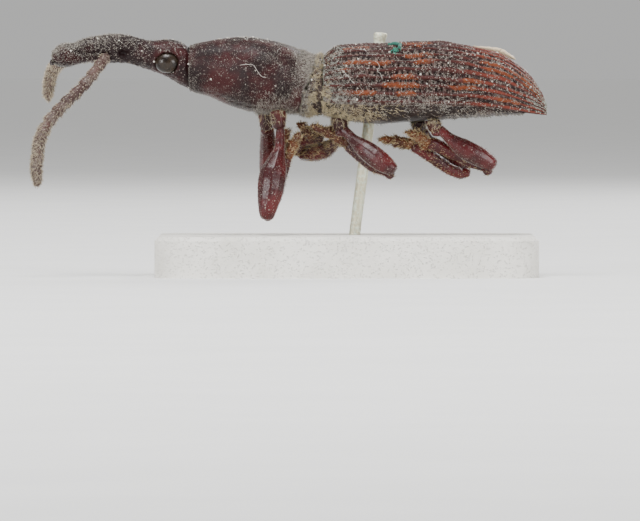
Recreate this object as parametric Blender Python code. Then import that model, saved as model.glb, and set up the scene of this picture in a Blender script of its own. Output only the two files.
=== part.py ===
"""A dried, pinned straight-snouted weevil on a small display base, at life size.

The shapes are worked out in millimetres and scaled to metres at the very end.
+X runs from the snout to the tail, the animal's left side faces -Y, and +Z is up.
While the shapes are made, X is 0 at the tip of the snout and Z is 0 on the body's axis.
The last step moves everything so that the origin is under the middle of the whole piece.
"""

import math

import bmesh
import bpy
from mathutils import Matrix, Vector

# Sizes that hold for the whole insect, in millimetres
GAP = 0.06  # left between two pieces that touch
LEFT, RIGHT = -1, 1  # the sign of Y on each side
BODY_POWER = 2.25  # 2 is an ellipse, more is squarer

# Each row is one cross-section: x, top, bottom, half the width, and how far the section
# leans back per millimetre of height
ROSTRUM = (
    (0.08, 0.78, 0.44, 0.34, 0.0),
    (0.29, 1.03, 0.31, 0.56, 0.0),
    (0.52, 1.12, 0.25, 0.68, 0.0),
    (0.90, 1.14, 0.33, 0.52, 0.0),
    (1.24, 1.30, 0.42, 0.40, 0.0),
    (1.69, 1.40, 0.47, 0.35, 0.0),
    (2.24, 1.49, 0.42, 0.55, 0.0),
    (2.76, 1.47, 0.41, 0.45, 0.0),
    (3.09, 1.41, 0.33, 0.44, 0.0),
    (3.33, 1.30, 0.26, 0.51, 0.0),
)
HEAD = (
    (3.39, 1.28, 0.24, 0.53, 0.0),
    (3.67, 1.24, 0.15, 0.63, 0.0),
    (4.04, 1.26, 0.03, 0.70, 0.0),
    (4.41, 1.28, -0.14, 0.73, 0.0),
    (4.74, 1.22, -0.36, 0.72, 0.0),
    (4.93, 1.05, -0.50, 0.70, 0.0),
    (5.07, 0.94, -0.56, 0.66, 0.0),
)
PRONOTUM = (
    (5.13, 1.06, -0.62, 0.86, 0.0),
    (5.37, 1.14, -0.70, 0.93, 0.0),
    (5.88, 1.24, -0.83, 1.07, 0.0),
    (6.47, 1.33, -1.10, 1.24, 0.0),
    (7.26, 1.38, -1.36, 1.50, 0.0),
    (7.79, 1.31, -1.40, 1.58, 0.0),
    (8.30, 1.19, -1.40, 1.52, 0.06),
    (8.68, 1.05, -1.40, 1.38, 0.14),
    (9.00, 0.89, -1.40, 1.17, 0.20),
    (9.22, 0.76, -1.42, 1.07, 0.28),
    (9.45, 0.69, -1.44, 1.05, 0.34),
)
MESOTHORAX = (
    (9.52, 0.69, -1.46, 1.05, 0.34),
    (9.74, 0.67, -1.48, 1.07, 0.19),
    (10.00, 0.66, -1.50, 1.12, 0.0),
)

# The wing cases: x, height of the seam, height of the lower margin, half the width
ELYTRA = (
    (10.06, 0.66, -0.92, 1.14),
    (10.20, 0.80, -0.98, 1.28),
    (10.51, 1.01, -1.02, 1.44),
    (10.88, 1.06, -1.04, 1.53),
    (11.80, 1.11, -1.06, 1.59),
    (14.12, 1.19, -1.10, 1.56),
    (15.04, 1.09, -1.12, 1.50),
    (15.51, 0.99, -1.14, 1.44),
    (16.47, 0.76, -1.22, 1.24),
    (17.21, 0.36, -1.32, 0.93),
    (17.68, -0.07, -1.38, 0.72),
    (18.05, -0.63, -1.42, 0.53),
    (18.24, -1.08, -1.43, 0.38),
)
CASE_WALL = 0.50
WIDEST_AT = 0.38  # of the way up from the margin to the seam
TUCK = 0.07  # of the half width that the case draws in at its margin
RIDGES = 9  # lengthwise ridges on each wing case
POINTS_PER_RIDGE = 3
INNER_POINTS = 8  # from margin to seam on the inner face of a wing case
THINNEST_SHARE = 0.42  # of the case's width or height, where it is too slim for its full wall
RIDGE_HEIGHT = 0.07
SEAM = 0.05  # between the two wing cases

# The trunk under the wing cases: x and its lowest point
UNDERSIDE = (
    (10.06, -1.50),
    (10.88, -1.71),
    (12.05, -1.85),
    (13.42, -1.72),
    (15.04, -1.62),
    (16.69, -1.51),
    (17.50, -1.45),
)
UNDERSIDE_WIDTH = 0.90  # of the wing cases' half width
METATHORAX_END = 14.30
ABDOMEN_END = 17.45

EYE_CENTRE = (4.32, 0.55, 0.42)
EYE_RADII = (0.41, 0.33, 0.36)

# Points along the middle of each feeler. Its base starts inside the snout
LEFT_ANTENNA = (
    (2.10, -0.30, 0.67),
    (1.80, -0.83, 0.26),
    (1.47, -1.16, -0.18),
    (1.14, -1.35, -0.56),
    (0.79, -1.56, -0.89),
    (0.51, -1.81, -1.17),
    (0.27, -1.96, -1.43),
    (0.07, -2.14, -1.68),
    (-0.12, -2.29, -1.96),
    (-0.30, -2.46, -2.31),
    (-0.40, -2.60, -2.64),
    (-0.43, -2.72, -2.93),
    (-0.48, -2.83, -3.45),
    (-0.40, -2.95, -4.10),
)
RIGHT_ANTENNA = (
    (2.10, 0.30, 0.60),
    (1.88, 1.07, 0.62),
    (1.65, 1.43, 0.64),
    (1.38, 1.69, 0.66),
    (1.07, 1.99, 0.65),
    (0.75, 2.32, 0.60),
    (0.46, 2.57, 0.52),
    (0.24, 2.83, 0.40),
    (0.05, 3.13, 0.22),
    (-0.08, 3.36, 0.0),
    (-0.19, 3.58, -0.30),
    (-0.27, 3.80, -0.70),
    (-0.27, 3.92, -1.00),
)
ANTENNOMERES = 11
SCAPE_COUNT, FUNICLE_COUNT = 1, 7  # the other three make the club
SCAPE_SHARE, CLUB_SHARE = 1.25, 1.35  # length of such a joint beside a middle one
ANTENNA_RADIUS = 0.25
WAIST = 0.74  # radius between two joints of a feeler beside their widest
CLUB_TIP = 0.5  # radius at the end of a feeler beside its widest

# Legs: for each piece its points and radii, from the body outwards. Each piece starts
# inside the one before it, and is cut back to its surface
LEGS = {
    "fore_L": {
        "carrier": "pronotum",
        "coxa": (((8.36, -0.50, -1.05), 0.34), ((8.42, -0.58, -1.86), 0.27)),
        "femur": (
            ((8.44, -0.60, -1.72), 0.22),
            ((8.45, -0.82, -2.70), 0.25),
            ((8.22, -1.15, -3.60), 0.50),
            ((8.12, -1.32, -4.25), 0.49),
            ((8.02, -1.45, -4.85), 0.36),
            ((7.99, -1.50, -5.15), 0.28),
        ),
        "tibia": (
            ((8.02, -1.25, -5.02), 0.22),
            ((8.20, -0.72, -4.55), 0.24),
            ((8.46, -0.40, -3.85), 0.25),
            ((8.64, -0.48, -3.12), 0.26),
        ),
        "tarsus": ((8.66, -0.49, -3.25), (8.85, -0.50, -2.72), (9.14, -0.48, -2.22)),
    },
    "fore_R": {
        "carrier": "pronotum",
        "coxa": (((7.95, 0.50, -1.05), 0.34), ((7.95, 0.62, -1.90), 0.27)),
        "femur": (
            ((7.97, 0.66, -1.76), 0.22),
            ((8.01, 1.20, -2.50), 0.31),
            ((8.08, 1.90, -3.40), 0.42),
            ((8.10, 2.35, -3.98), 0.36),
            ((8.10, 2.58, -4.28), 0.26),
        ),
        "tibia": (
            ((8.14, 2.38, -4.28), 0.22),
            ((8.22, 1.72, -4.16), 0.24),
            ((8.34, 1.10, -3.64), 0.25),
            ((8.44, 0.62, -3.00), 0.25),
        ),
        "tarsus": ((8.42, 0.68, -3.10), (8.52, 0.44, -2.62), (8.72, 0.30, -2.10)),
    },
    "mid_L": {
        "carrier": "metathorax",
        "coxa": (((10.62, -0.50, -1.35), 0.34), ((10.68, -0.58, -1.98), 0.27)),
        "femur": (
            ((10.68, -0.60, -1.84), 0.22),
            ((11.10, -0.84, -2.36), 0.26),
            ((11.70, -1.12, -2.84), 0.37),
            ((12.20, -1.33, -3.22), 0.36),
            ((12.54, -1.46, -3.46), 0.26),
        ),
        "tibia": (
            ((12.38, -1.26, -3.52), 0.22),
            ((11.90, -0.80, -3.38), 0.24),
            ((11.46, -0.54, -3.02), 0.25),
            ((11.02, -0.44, -2.64), 0.25),
        ),
        "tarsus": ((11.16, -0.46, -2.74), (10.50, -0.28, -2.26), (9.70, -0.22, -1.92)),
    },
    "mid_R": {
        "carrier": "metathorax",
        "coxa": (((10.62, 0.50, -1.35), 0.34), ((10.62, 0.60, -1.98), 0.27)),
        "femur": (
            ((10.62, 0.62, -1.84), 0.22),
            ((10.52, 0.84, -2.46), 0.25),
            ((10.12, 1.14, -2.80), 0.31),
            ((9.64, 1.50, -2.90), 0.31),
            ((9.26, 1.80, -2.93), 0.24),
        ),
        "tibia": (
            ((9.20, 1.66, -2.82), 0.21),
            ((9.20, 1.30, -2.50), 0.22),
            ((9.52, 0.98, -2.36), 0.24),
            ((9.90, 0.72, -2.30), 0.24),
        ),
        "tarsus": ((9.84, 0.78, -2.32), (9.50, 0.46, -2.16), (9.24, 0.16, -1.86)),
    },
    "hind_L": {
        "carrier": "metathorax",
        "coxa": (((13.92, -0.52, -1.25), 0.34), ((14.14, -0.58, -1.96), 0.27)),
        "femur": (
            ((14.13, -0.58, -1.80), 0.22),
            ((14.66, -0.60, -2.34), 0.26),
            ((15.26, -0.56, -2.76), 0.37),
            ((15.84, -0.50, -3.06), 0.36),
            ((16.22, -0.48, -3.30), 0.27),
        ),
        "tibia": (
            ((16.08, -0.34, -3.38), 0.22),
            ((15.58, -0.06, -3.26), 0.23),
            ((15.06, -0.02, -3.00), 0.24),
            ((14.50, -0.12, -2.74), 0.25),
            ((14.00, -0.30, -2.52), 0.25),
        ),
        "tarsus": ((14.08, -0.30, -2.56), (13.62, -0.48, -2.34), (13.24, -0.84, -2.14)),
    },
    "hind_R": {
        "carrier": "metathorax",
        "coxa": (((13.52, 0.52, -1.25), 0.34), ((13.58, 0.60, -2.00), 0.27)),
        "femur": (
            ((13.58, 0.61, -1.84), 0.22),
            ((13.94, 0.72, -2.44), 0.26),
            ((14.46, 0.84, -3.02), 0.37),
            ((14.92, 0.92, -3.38), 0.36),
            ((15.26, 0.96, -3.60), 0.27),
        ),
        "tibia": (
            ((15.14, 0.72, -3.66), 0.22),
            ((14.70, 0.36, -3.50), 0.23),
            ((14.22, 0.18, -3.18), 0.24),
            ((13.80, 0.14, -2.88), 0.25),
            ((13.42, 0.14, -2.64), 0.25),
        ),
        "tarsus": ((13.52, 0.14, -2.72), (12.92, 0.12, -2.50), (12.24, 0.06, -2.40)),
    },
}
COXA_SIDES, FEMUR_SIDES, TIBIA_SIDES, TARSUS_SIDES = 8, 10, 8, 8
CLAW_SIDES, JAW_SIDES = 6, 8
# A rounded end: how far past the end, and the radius there, beside the rod's radius
ROUND_END = ((0.64, 0.38), (0.43, 0.78))
ANTENNA_SIDES = 9
ROSTRUM_SIDES, HEAD_SIDES, PRONOTUM_SIDES, MESOTHORAX_SIDES = 18, 20, 26, 22

# One foot joint after another: share of the foot's length, and half its width there
TARSUS_PROFILE = (
    (0.00, 0.22),
    (0.22, 0.27),
    (0.26, 0.22),
    (0.44, 0.28),
    (0.48, 0.23),
    (0.68, 0.30),
    (0.74, 0.17),
    (0.96, 0.19),
    (1.00, 0.14),
)
TARSUS_FLATNESS = 0.82  # thickness beside width
CLAW_LENGTH, CLAW_RADIUS, CLAW_SPREAD = 0.26, 0.08, 0.10

# The pin through the right wing case, and the base that it stands in
PIN_TOP = (12.16, 0.56, 1.50)
PIN_SLOPE = -0.13  # x per millimetre of height, towards the head on the way down
PIN_RADIUS = 0.21
PIN_SIDES = 20
BASE_TOP = -5.91
BASE_THICKNESS = 1.50
BASE_CENTRE_X = 10.90
BASE_LENGTH, BASE_WIDTH = 14.0, 9.0
BASE_CORNER = 1.2
BASE_BEVEL = 0.15
PIN_DEPTH = 1.0  # in the base

COLOURS = {  # base colour, roughness, metallic
    "cuticle": ((0.085, 0.022, 0.022), 0.38, 0.0),
    "wing_case": ((0.13, 0.035, 0.025), 0.42, 0.0),
    "leg": ((0.16, 0.018, 0.018), 0.32, 0.0),
    "pile": ((0.34, 0.26, 0.15), 0.85, 0.0),
    "feeler": ((0.33, 0.22, 0.14), 0.80, 0.0),
    "eye": ((0.11, 0.08, 0.06), 0.15, 0.0),
    "pin": ((0.55, 0.60, 0.52), 0.45, 0.8),
    "base": ((0.78, 0.76, 0.70), 0.70, 0.0),
}


def clear_scene():
    """Remove whatever the file holds before the model is made."""
    for thing in list(bpy.data.objects):
        bpy.data.objects.remove(thing, do_unlink=True)


def material(kind):
    """One Principled material for each kind of surface, made on first use."""
    found = bpy.data.materials.get(kind)
    if found:
        return found
    colour, roughness, metallic = COLOURS[kind]
    made = bpy.data.materials.new(kind)
    made.use_nodes = True
    shader = made.node_tree.nodes["Principled BSDF"]
    shader.inputs["Base Color"].default_value = (*colour, 1.0)
    shader.inputs["Roughness"].default_value = roughness
    shader.inputs["Metallic"].default_value = metallic
    return made


def through(rows, steps):
    """Rows of numbers on a smooth curve through the given ones, steps to each span."""
    rows = [tuple(row) for row in rows]
    out = []
    for i in range(len(rows) - 1):
        before, start = rows[max(i - 1, 0)], rows[i]
        end, after = rows[i + 1], rows[min(i + 2, len(rows) - 1)]
        for step in range(steps):
            t = step / steps
            out.append(tuple(
                b + 0.5 * t * (c - a + t * (2 * a - 5 * b + 4 * c - d + t * (3 * (b - c) + d - a)))
                for a, b, c, d in zip(before, start, end, after)
            ))
    out.append(rows[-1])
    return out


def between(rows, x):
    """The row of numbers at x, read off straight lines between the given rows."""
    for low, high in zip(rows, rows[1:]):
        if x <= high[0]:
            t = max(0.0, (x - low[0]) / (high[0] - low[0]))
            return tuple(a + t * (b - a) for a, b in zip(low, high))
    return tuple(rows[-1])


def even(points, count):
    """That many points at even distances along a line through the given points."""
    points = [Vector(p) for p in points]
    lengths = [0.0]
    for a, b in zip(points, points[1:]):
        lengths.append(lengths[-1] + (b - a).length)
    out = []
    for k in range(count):
        want = lengths[-1] * k / (count - 1)
        i = max(j for j in range(len(points)) if lengths[j] <= want + 1e-9)
        i = min(i, len(points) - 2)
        t = (want - lengths[i]) / (lengths[i + 1] - lengths[i])
        out.append(points[i].lerp(points[i + 1], t))
    return out


def skinned(name, rings, kind):
    """An object whose closed surface joins rings of equally many points, with flat ends."""
    shape = bmesh.new()
    loops = [[shape.verts.new(point) for point in ring] for ring in rings]
    for low, high in zip(loops, loops[1:]):
        for k in range(len(low)):
            nxt = (k + 1) % len(low)
            shape.faces.new((low[k], low[nxt], high[nxt], high[k]))
    shape.faces.new(loops[0])
    shape.faces.new(loops[-1])
    return finished(name, shape, kind)


def finished(name, shape, kind):
    """Turn a closed bmesh into an object with its faces pointing out."""
    bmesh.ops.triangulate(shape, faces=shape.faces)
    bmesh.ops.recalc_face_normals(shape, faces=shape.faces)
    mesh = bpy.data.meshes.new(name)
    shape.to_mesh(mesh)
    shape.free()
    mesh.materials.append(material(kind))
    thing = bpy.data.objects.new(name, mesh)
    bpy.context.scene.collection.objects.link(thing)
    return thing


def keep_largest(thing):
    """Leave only the connected surface with the most faces."""
    shape = bmesh.new()
    shape.from_mesh(thing.data)
    left = set(shape.faces)
    groups = []
    while left:
        todo = [left.pop()]
        group = list(todo)
        while todo:
            face = todo.pop()
            near = {f for edge in face.edges for f in edge.link_faces} & left
            left -= near
            todo.extend(near)
            group.extend(near)
        groups.append(group)
    groups.sort(key=lambda group: sum(face.calc_area() for face in group))
    loose = [face for group in groups[:-1] for face in group]
    bmesh.ops.delete(shape, geom=loose, context="FACES")
    bmesh.ops.triangulate(shape, faces=shape.faces)
    shape.to_mesh(thing.data)
    shape.free()


def combine(thing, others, operation):
    """Join or cut an object with closed ones by one exact Boolean, then remove them."""
    group = bpy.data.collections.new("others")
    bpy.context.scene.collection.children.link(group)
    for other in others:
        group.objects.link(other)
    change = thing.modifiers.new("change", "BOOLEAN")
    change.operation = operation
    change.operand_type = "COLLECTION"
    change.collection = group
    change.solver = "EXACT"
    graph = bpy.context.evaluated_depsgraph_get()
    made = bpy.data.meshes.new_from_object(thing.evaluated_get(graph))
    thing.modifiers.clear()
    thing.data = made
    for other in others:
        bpy.data.objects.remove(other, do_unlink=True)
    bpy.data.collections.remove(group)
    keep_largest(thing)
    return thing


def oval(x, top, bottom, half, lean, sides):
    """A ring of points round one cross-section of the body, seen from the head."""
    middle, height = (top + bottom) / 2, (top - bottom) / 2
    ring = []
    for k in range(sides):
        turn = 2 * math.pi * (k + 0.5) / sides
        across, up = math.cos(turn), math.sin(turn)
        y = half * math.copysign(abs(across) ** (2 / BODY_POWER), across)
        rise = height * math.copysign(abs(up) ** (2 / BODY_POWER), up)
        ring.append((x + lean * rise, y, middle + rise))
    return ring


def body_piece(name, rows, sides, steps, kind, grow=0.0):
    """A length of the body lofted through its cross-sections, grown all round if asked."""
    rings = []
    rows = through(rows, steps)
    for i, (x, top, bottom, half, lean) in enumerate(rows):
        x += grow * ((i == len(rows) - 1) - (i == 0))
        rings.append(oval(x, top + grow, bottom - grow, half + grow, lean, sides))
    return skinned(name, rings, kind)


def across_path(points):
    """For each point of a path, two directions square to it that don't twist."""
    side = None
    frames = []
    for i, point in enumerate(points):
        along = (points[min(i + 1, len(points) - 1)] - points[max(i - 1, 0)]).normalized()
        if side is None:
            side = along.cross(Vector((0, 1, 0))).normalized()
        side = (side - along * side.dot(along)).normalized()
        frames.append((along, side, along.cross(side)))
    return frames


def rod(name, points, radii, sides, kind, flatness=1.0, grow=0.0, round_ends=True):
    """A round rod of changing thickness along a path, with rounded or flat ends."""
    points = [Vector(p) for p in points]
    rings = []
    frames = across_path(points)

    def ring(centre, frame, radius):
        along, wide, thin = frame
        turns = [2 * math.pi * (k + 0.5) / sides for k in range(sides)]
        return [
            centre + wide * radius * flatness * math.cos(turn) + thin * radius * math.sin(turn)
            for turn in turns
        ]

    if round_ends:
        for reach, share in ROUND_END:
            radius = radii[0] + grow
            rings.append(ring(points[0] - frames[0][0] * radius * reach, frames[0], radius * share))
    for i, (point, radius) in enumerate(zip(points, radii)):
        shift = 0.0 if round_ends else grow * ((i == len(points) - 1) - (i == 0))
        rings.append(ring(point + frames[i][0] * shift, frames[i], radius + grow))
    if round_ends:
        for reach, share in reversed(ROUND_END):
            radius = radii[-1] + grow
            rings.append(ring(points[-1] + frames[-1][0] * radius * reach, frames[-1], radius * share))
    return skinned(name, rings, kind)


def limb(name, rows, sides, kind, steps=2, grow=0.0):
    """A leg piece from rows of a point and the radius there."""
    rows = through([(*point, radius) for point, radius in rows], steps)
    return rod(name, [row[:3] for row in rows], [row[3] for row in rows], sides, kind, grow=grow)


def ellipsoid(name, centre, radii, kind, grow=0.0, rounds=8, across=14):
    """An eye: a sphere stretched to three radii."""
    shape = bmesh.new()
    bmesh.ops.create_uvsphere(shape, u_segments=across, v_segments=rounds, radius=1.0)
    for vert in shape.verts:
        vert.co = Vector(c + v * (r + grow) for c, v, r in zip(centre, vert.co, radii))
    return finished(name, shape, kind)


def case_arc(x, inset, count):
    """Points from the seam to the margin of one wing case's section, inset towards the body."""
    _, top, margin, half = between(SMOOTH_ELYTRA, x)
    top, half = top - inset, half - inset
    widest = margin + WIDEST_AT * (top - margin)
    line = []
    samples = 24
    for k in range(samples + 1):
        turn = math.pi / 2 * k / samples
        across = math.sin(turn) ** (2 / BODY_POWER)
        up = math.cos(turn) ** (2 / BODY_POWER)
        line.append((x, half * across, widest + (top - widest) * up))
    lower = 6
    for k in range(1, lower + 1):
        down = k / lower
        line.append((x, half * (1 - TUCK * down**2), widest + (margin - widest) * down))
    return even(line, count)


def case_wall(x):
    """Thickness of the wing case at x, thinner where it closes at the tip."""
    _, top, margin, half = between(SMOOTH_ELYTRA, x)
    return min(CASE_WALL, THINNEST_SHARE * half, THINNEST_SHARE * (top - margin))


def wing_case(name, side, kind):
    """One wing case: a thick shell with lengthwise ridges, closed at the tail."""
    rings = []
    count = RIDGES * POINTS_PER_RIDGE + 1
    for x in [row[0] for row in SMOOTH_ELYTRA]:
        _, _, _, half = between(SMOOTH_ELYTRA, x)
        outer = case_arc(x, 0.0, count)
        height = RIDGE_HEIGHT * half / ELYTRA[4][3]
        raised = []
        for k, point in enumerate(outer):
            before, after = outer[max(k - 1, 0)], outer[min(k + 1, count - 1)]
            run = (after - before).normalized()
            out = Vector((0, -run.z, run.y))
            crest = 0.5 - 0.5 * math.cos(2 * math.pi * RIDGES * k / (count - 1))
            raised.append(point + out * height * (crest - 0.5))
        inner = case_arc(x, case_wall(x), INNER_POINTS)
        ring = raised + list(reversed(inner))
        rings.append([(p.x, side * (SEAM / 2 + p.y), p.z) for p in ring])
    return skinned(name, rings, kind)


def trunk_ring(x):
    """A section of the body under the wing cases: slim inside them, wider below them."""
    _, _, margin, half = between(SMOOTH_ELYTRA, x)
    _, bottom = between(UNDERSIDE, x)
    upper = [p for p in case_arc(x, case_wall(x) + GAP, 9) if p.z > margin + GAP]
    line = [(p.y, p.z) for p in upper]
    line.append((line[-1][0], margin - GAP))
    low, wide = margin - GAP, half * UNDERSIDE_WIDTH
    rounds = 7
    for k in range(rounds):
        turn = math.pi / 2 * k / rounds
        y = wide * math.cos(turn) ** (2 / BODY_POWER)
        line.append((y, low - (low - bottom) * math.sin(turn) ** (2 / BODY_POWER)))
    line.append((0.0, bottom))
    other = [(-y, z) for y, z in reversed(line[1:-1])]
    return [(x, y, z) for y, z in line + other]


def trunk_piece(name, start, end, steps, kind, grow=0.0):
    """A length of the body under the wing cases."""
    rings = []
    for k in range(steps + 1):
        ring = trunk_ring(start + (end - start) * k / steps)
        if grow:
            centre = sum((Vector(p) for p in ring), Vector()) / len(ring)
            ring = [Vector(p) + (Vector(p) - centre).normalized() * grow for p in ring]
        rings.append(ring)
    return skinned(name, rings, kind)


def feeler(side_name, points):
    """Scape, funicle and club of one feeler, as rows of tapered joints."""
    line = even([row[:3] for row in through(points, 4)], 89)
    shares = [1.0] * ANTENNOMERES
    shares[0] = SCAPE_SHARE
    shares[-3:] = [CLUB_SHARE] * 3
    total = sum(shares)
    edges = [0.0]
    for share in shares:
        edges.append(edges[-1] + share / total)
    # Place along one joint, and the radius there beside the widest
    profile = ((0.0, WAIST), (0.35, 0.92), (0.75, 1.0), (1.0, WAIST))

    def point_at(share):
        place = share * (len(line) - 1)
        low = min(int(place), len(line) - 2)
        return line[low].lerp(line[low + 1], place - low)

    length = sum((b - a).length for a, b in zip(line, line[1:]))
    groups = {
        "scape": (0, SCAPE_COUNT),
        "funicle": (SCAPE_COUNT, SCAPE_COUNT + FUNICLE_COUNT),
        "club": (SCAPE_COUNT + FUNICLE_COUNT, ANTENNOMERES),
    }
    made = []
    for part, (first, last) in groups.items():
        centres, radii = [], []
        for joint in range(first, last):
            start, end = edges[joint], edges[joint + 1]
            if joint == first and first > 0:
                start += GAP / length
            for place, thick in profile[:-1]:
                centres.append(point_at(start + (end - start) * place))
                radii.append(thick * ANTENNA_RADIUS)
        centres.append(point_at(edges[last]))
        tip = CLUB_TIP if part == "club" else WAIST
        radii.append(ANTENNA_RADIUS * tip)
        name = f"antenna_{part}_{side_name}"
        made.append(rod(name, centres, radii, ANTENNA_SIDES, "feeler", round_ends=False))
    return made


def foot(name, path):
    """A foot of three widening joints, a slim last joint and two claws."""
    line = even([row for row in through(path, 4)], 41)
    centres = [line[round(share * 40)] for share, _ in TARSUS_PROFILE]
    radii = [radius for _, radius in TARSUS_PROFILE]
    made = rod(name, centres, radii, TARSUS_SIDES, "feeler", flatness=TARSUS_FLATNESS)
    along = (line[-1] - line[-4]).normalized()
    side = along.cross(Vector((0, 0, 1))).normalized()
    claws = []
    for hand in (-1, 1):
        root = line[-1] - along * CLAW_RADIUS + side * hand * CLAW_SPREAD * 0.5
        bend = root + along * CLAW_LENGTH * 0.6 + side * hand * CLAW_SPREAD
        tip = root + along * CLAW_LENGTH * 0.9 + side * hand * CLAW_SPREAD
        tip.z -= CLAW_LENGTH * 0.35
        radii = (CLAW_RADIUS, CLAW_RADIUS * 0.8, CLAW_RADIUS * 0.35)
        claws.append(rod("claw", (root, bend, tip), radii, CLAW_SIDES, "feeler", round_ends=False))
    return combine(made, claws, "UNION")


def leg(side_name, spec, carrier):
    """One leg: coxa, femur, tibia and foot, each cut back to the piece before it."""
    coxa = limb(f"coxa_{side_name}", spec["coxa"], COXA_SIDES, "leg")
    combine(coxa, [carrier()], "DIFFERENCE")
    femur = limb(f"femur_{side_name}", spec["femur"], FEMUR_SIDES, "leg")
    cutter = limb("cutter", spec["coxa"], COXA_SIDES, "leg", grow=GAP)
    combine(femur, [cutter], "DIFFERENCE")
    tibia = limb(f"tibia_{side_name}", spec["tibia"], TIBIA_SIDES, "leg")
    cutter = limb("cutter", spec["femur"], FEMUR_SIDES, "leg", grow=GAP)
    combine(tibia, [cutter], "DIFFERENCE")
    tarsus = foot(f"tarsus_{side_name}", spec["tarsus"])
    cutter = limb("cutter", spec["tibia"], TIBIA_SIDES, "leg", grow=GAP)
    combine(tarsus, [cutter], "DIFFERENCE")


def pin(name, low, grow=0.0):
    """The pin down to the height low, leaning a little towards the head as it goes."""
    x, y, z = PIN_TOP
    foot_x = x + PIN_SLOPE * (z - low)
    radii = (PIN_RADIUS, PIN_RADIUS)
    path = ((x, y, z), (foot_x, y, low))
    return rod(name, path, radii, PIN_SIDES, "pin", grow=grow, round_ends=False)


def base_plate(name):
    """A flat rounded plate with the blind hole that the pin stands in."""
    outline = []
    corner_steps = 6
    for turn_x, turn_y, first in ((1, 1, 0), (-1, 1, 90), (-1, -1, 180), (1, -1, 270)):
        for k in range(corner_steps + 1):
            turn = math.radians(first + 90 * k / corner_steps)
            x = turn_x * (BASE_LENGTH / 2 - BASE_CORNER) + BASE_CORNER * math.cos(turn)
            y = turn_y * (BASE_WIDTH / 2 - BASE_CORNER) + BASE_CORNER * math.sin(turn)
            outline.append((x, y))

    def level(z, inset):
        wide = 1 - inset / (BASE_LENGTH / 2)
        deep = 1 - inset / (BASE_WIDTH / 2)
        return [(BASE_CENTRE_X + x * wide, y * deep, z) for x, y in outline]

    bottom = BASE_TOP - BASE_THICKNESS
    rings = (
        level(bottom, 0.0),
        level(BASE_TOP - BASE_BEVEL, 0.0),
        level(BASE_TOP, BASE_BEVEL),
    )
    plate = skinned(name, rings, "base")
    return combine(plate, [pin("cutter", BASE_TOP - PIN_DEPTH, grow=GAP)], "DIFFERENCE")


def mandible(name, side):
    """A short curved jaw at the tip of the snout."""
    path = ((0.36, side * 0.20, 0.50), (0.10, side * 0.24, 0.46), (-0.04, side * 0.10, 0.40))
    made = rod(name, path, (0.17, 0.15, 0.08), JAW_SIDES, "cuticle")
    cutter = body_piece("cutter", ROSTRUM, ROSTRUM_SIDES, 2, "cuticle", grow=GAP)
    return combine(made, [cutter], "DIFFERENCE")


def build_head():
    """Snout, jaws, head and eyes."""
    body_piece("rostrum", ROSTRUM, ROSTRUM_SIDES, 2, "cuticle")
    head = body_piece("head", HEAD, HEAD_SIDES, 2, "cuticle")
    x, y, z = EYE_CENTRE
    for side, letter in ((LEFT, "L"), (RIGHT, "R")):
        mandible(f"mandible_{letter}", side)
        ellipsoid(f"eye_{letter}", (x, side * y, z), EYE_RADII, "eye")
        socket = ellipsoid("cutter", (x, side * y, z), EYE_RADII, "eye", grow=GAP)
        combine(head, [socket], "DIFFERENCE")


def build_feelers():
    """Both feelers, cut back to the snout that they grow from."""
    for letter, points in (("L", LEFT_ANTENNA), ("R", RIGHT_ANTENNA)):
        scape = feeler(letter, points)[0]
        cutter = body_piece("cutter", ROSTRUM, ROSTRUM_SIDES, 2, "cuticle", grow=GAP)
        combine(scape, [cutter], "DIFFERENCE")


def build_trunk():
    """Thorax, abdomen and the two wing cases."""
    body_piece("pronotum", PRONOTUM, PRONOTUM_SIDES, 2, "cuticle")
    body_piece("mesothorax", MESOTHORAX, MESOTHORAX_SIDES, 2, "pile")
    bottom = BASE_TOP - PIN_DEPTH
    start = ELYTRA[0][0]
    metathorax = trunk_piece("metathorax", start, METATHORAX_END, 8, "pile")
    combine(metathorax, [pin("cutter", bottom, grow=GAP)], "DIFFERENCE")
    trunk_piece("abdomen", METATHORAX_END + GAP, ABDOMEN_END, 7, "pile")
    wing_case("elytron_L", LEFT, "wing_case")
    right = wing_case("elytron_R", RIGHT, "wing_case")
    combine(right, [pin("cutter", bottom, grow=GAP)], "DIFFERENCE")


def build_legs():
    """All six legs."""
    def grown_pronotum():
        return body_piece("cutter", PRONOTUM, PRONOTUM_SIDES, 2, "cuticle", grow=GAP)

    def grown_trunk():
        return trunk_piece("cutter", ELYTRA[0][0], ABDOMEN_END, 15, "pile", grow=GAP)

    carriers = {"pronotum": grown_pronotum, "metathorax": grown_trunk}
    for side_name, spec in LEGS.items():
        leg(side_name, spec, carriers[spec["carrier"]])


def build_stand():
    """The pin and the base that hold the insect up."""
    pin("stand_pin", BASE_TOP - PIN_DEPTH + GAP)
    base_plate("stand_base")


def place_and_scale():
    """Put the origin under the middle of everything, scale to metres, and group the nodes."""
    things = [thing for thing in bpy.data.objects if thing.type == "MESH"]
    points = [vert.co for thing in things for vert in thing.data.vertices]
    low = Vector(min(p[axis] for p in points) for axis in range(3))
    high = Vector(max(p[axis] for p in points) for axis in range(3))
    origin = Vector(((low.x + high.x) / 2, (low.y + high.y) / 2, low.z))
    millimetre = Matrix.Scale(0.001, 4)
    groups = {}
    for name in ("specimen", "display_stand"):
        groups[name] = bpy.data.objects.new(name, None)
        bpy.context.scene.collection.objects.link(groups[name])
    for thing in things:
        thing.data.transform(millimetre @ Matrix.Translation(-origin))
        group = "display_stand" if thing.name.startswith("stand_") else "specimen"
        thing.parent = groups[group]
        thing.data.shade_smooth()
        thing.data.set_sharp_from_angle(angle=math.radians(40))


SMOOTH_ELYTRA = through(ELYTRA, 2)

clear_scene()
build_head()
build_feelers()
build_trunk()
build_legs()
build_stand()
place_and_scale()
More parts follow.
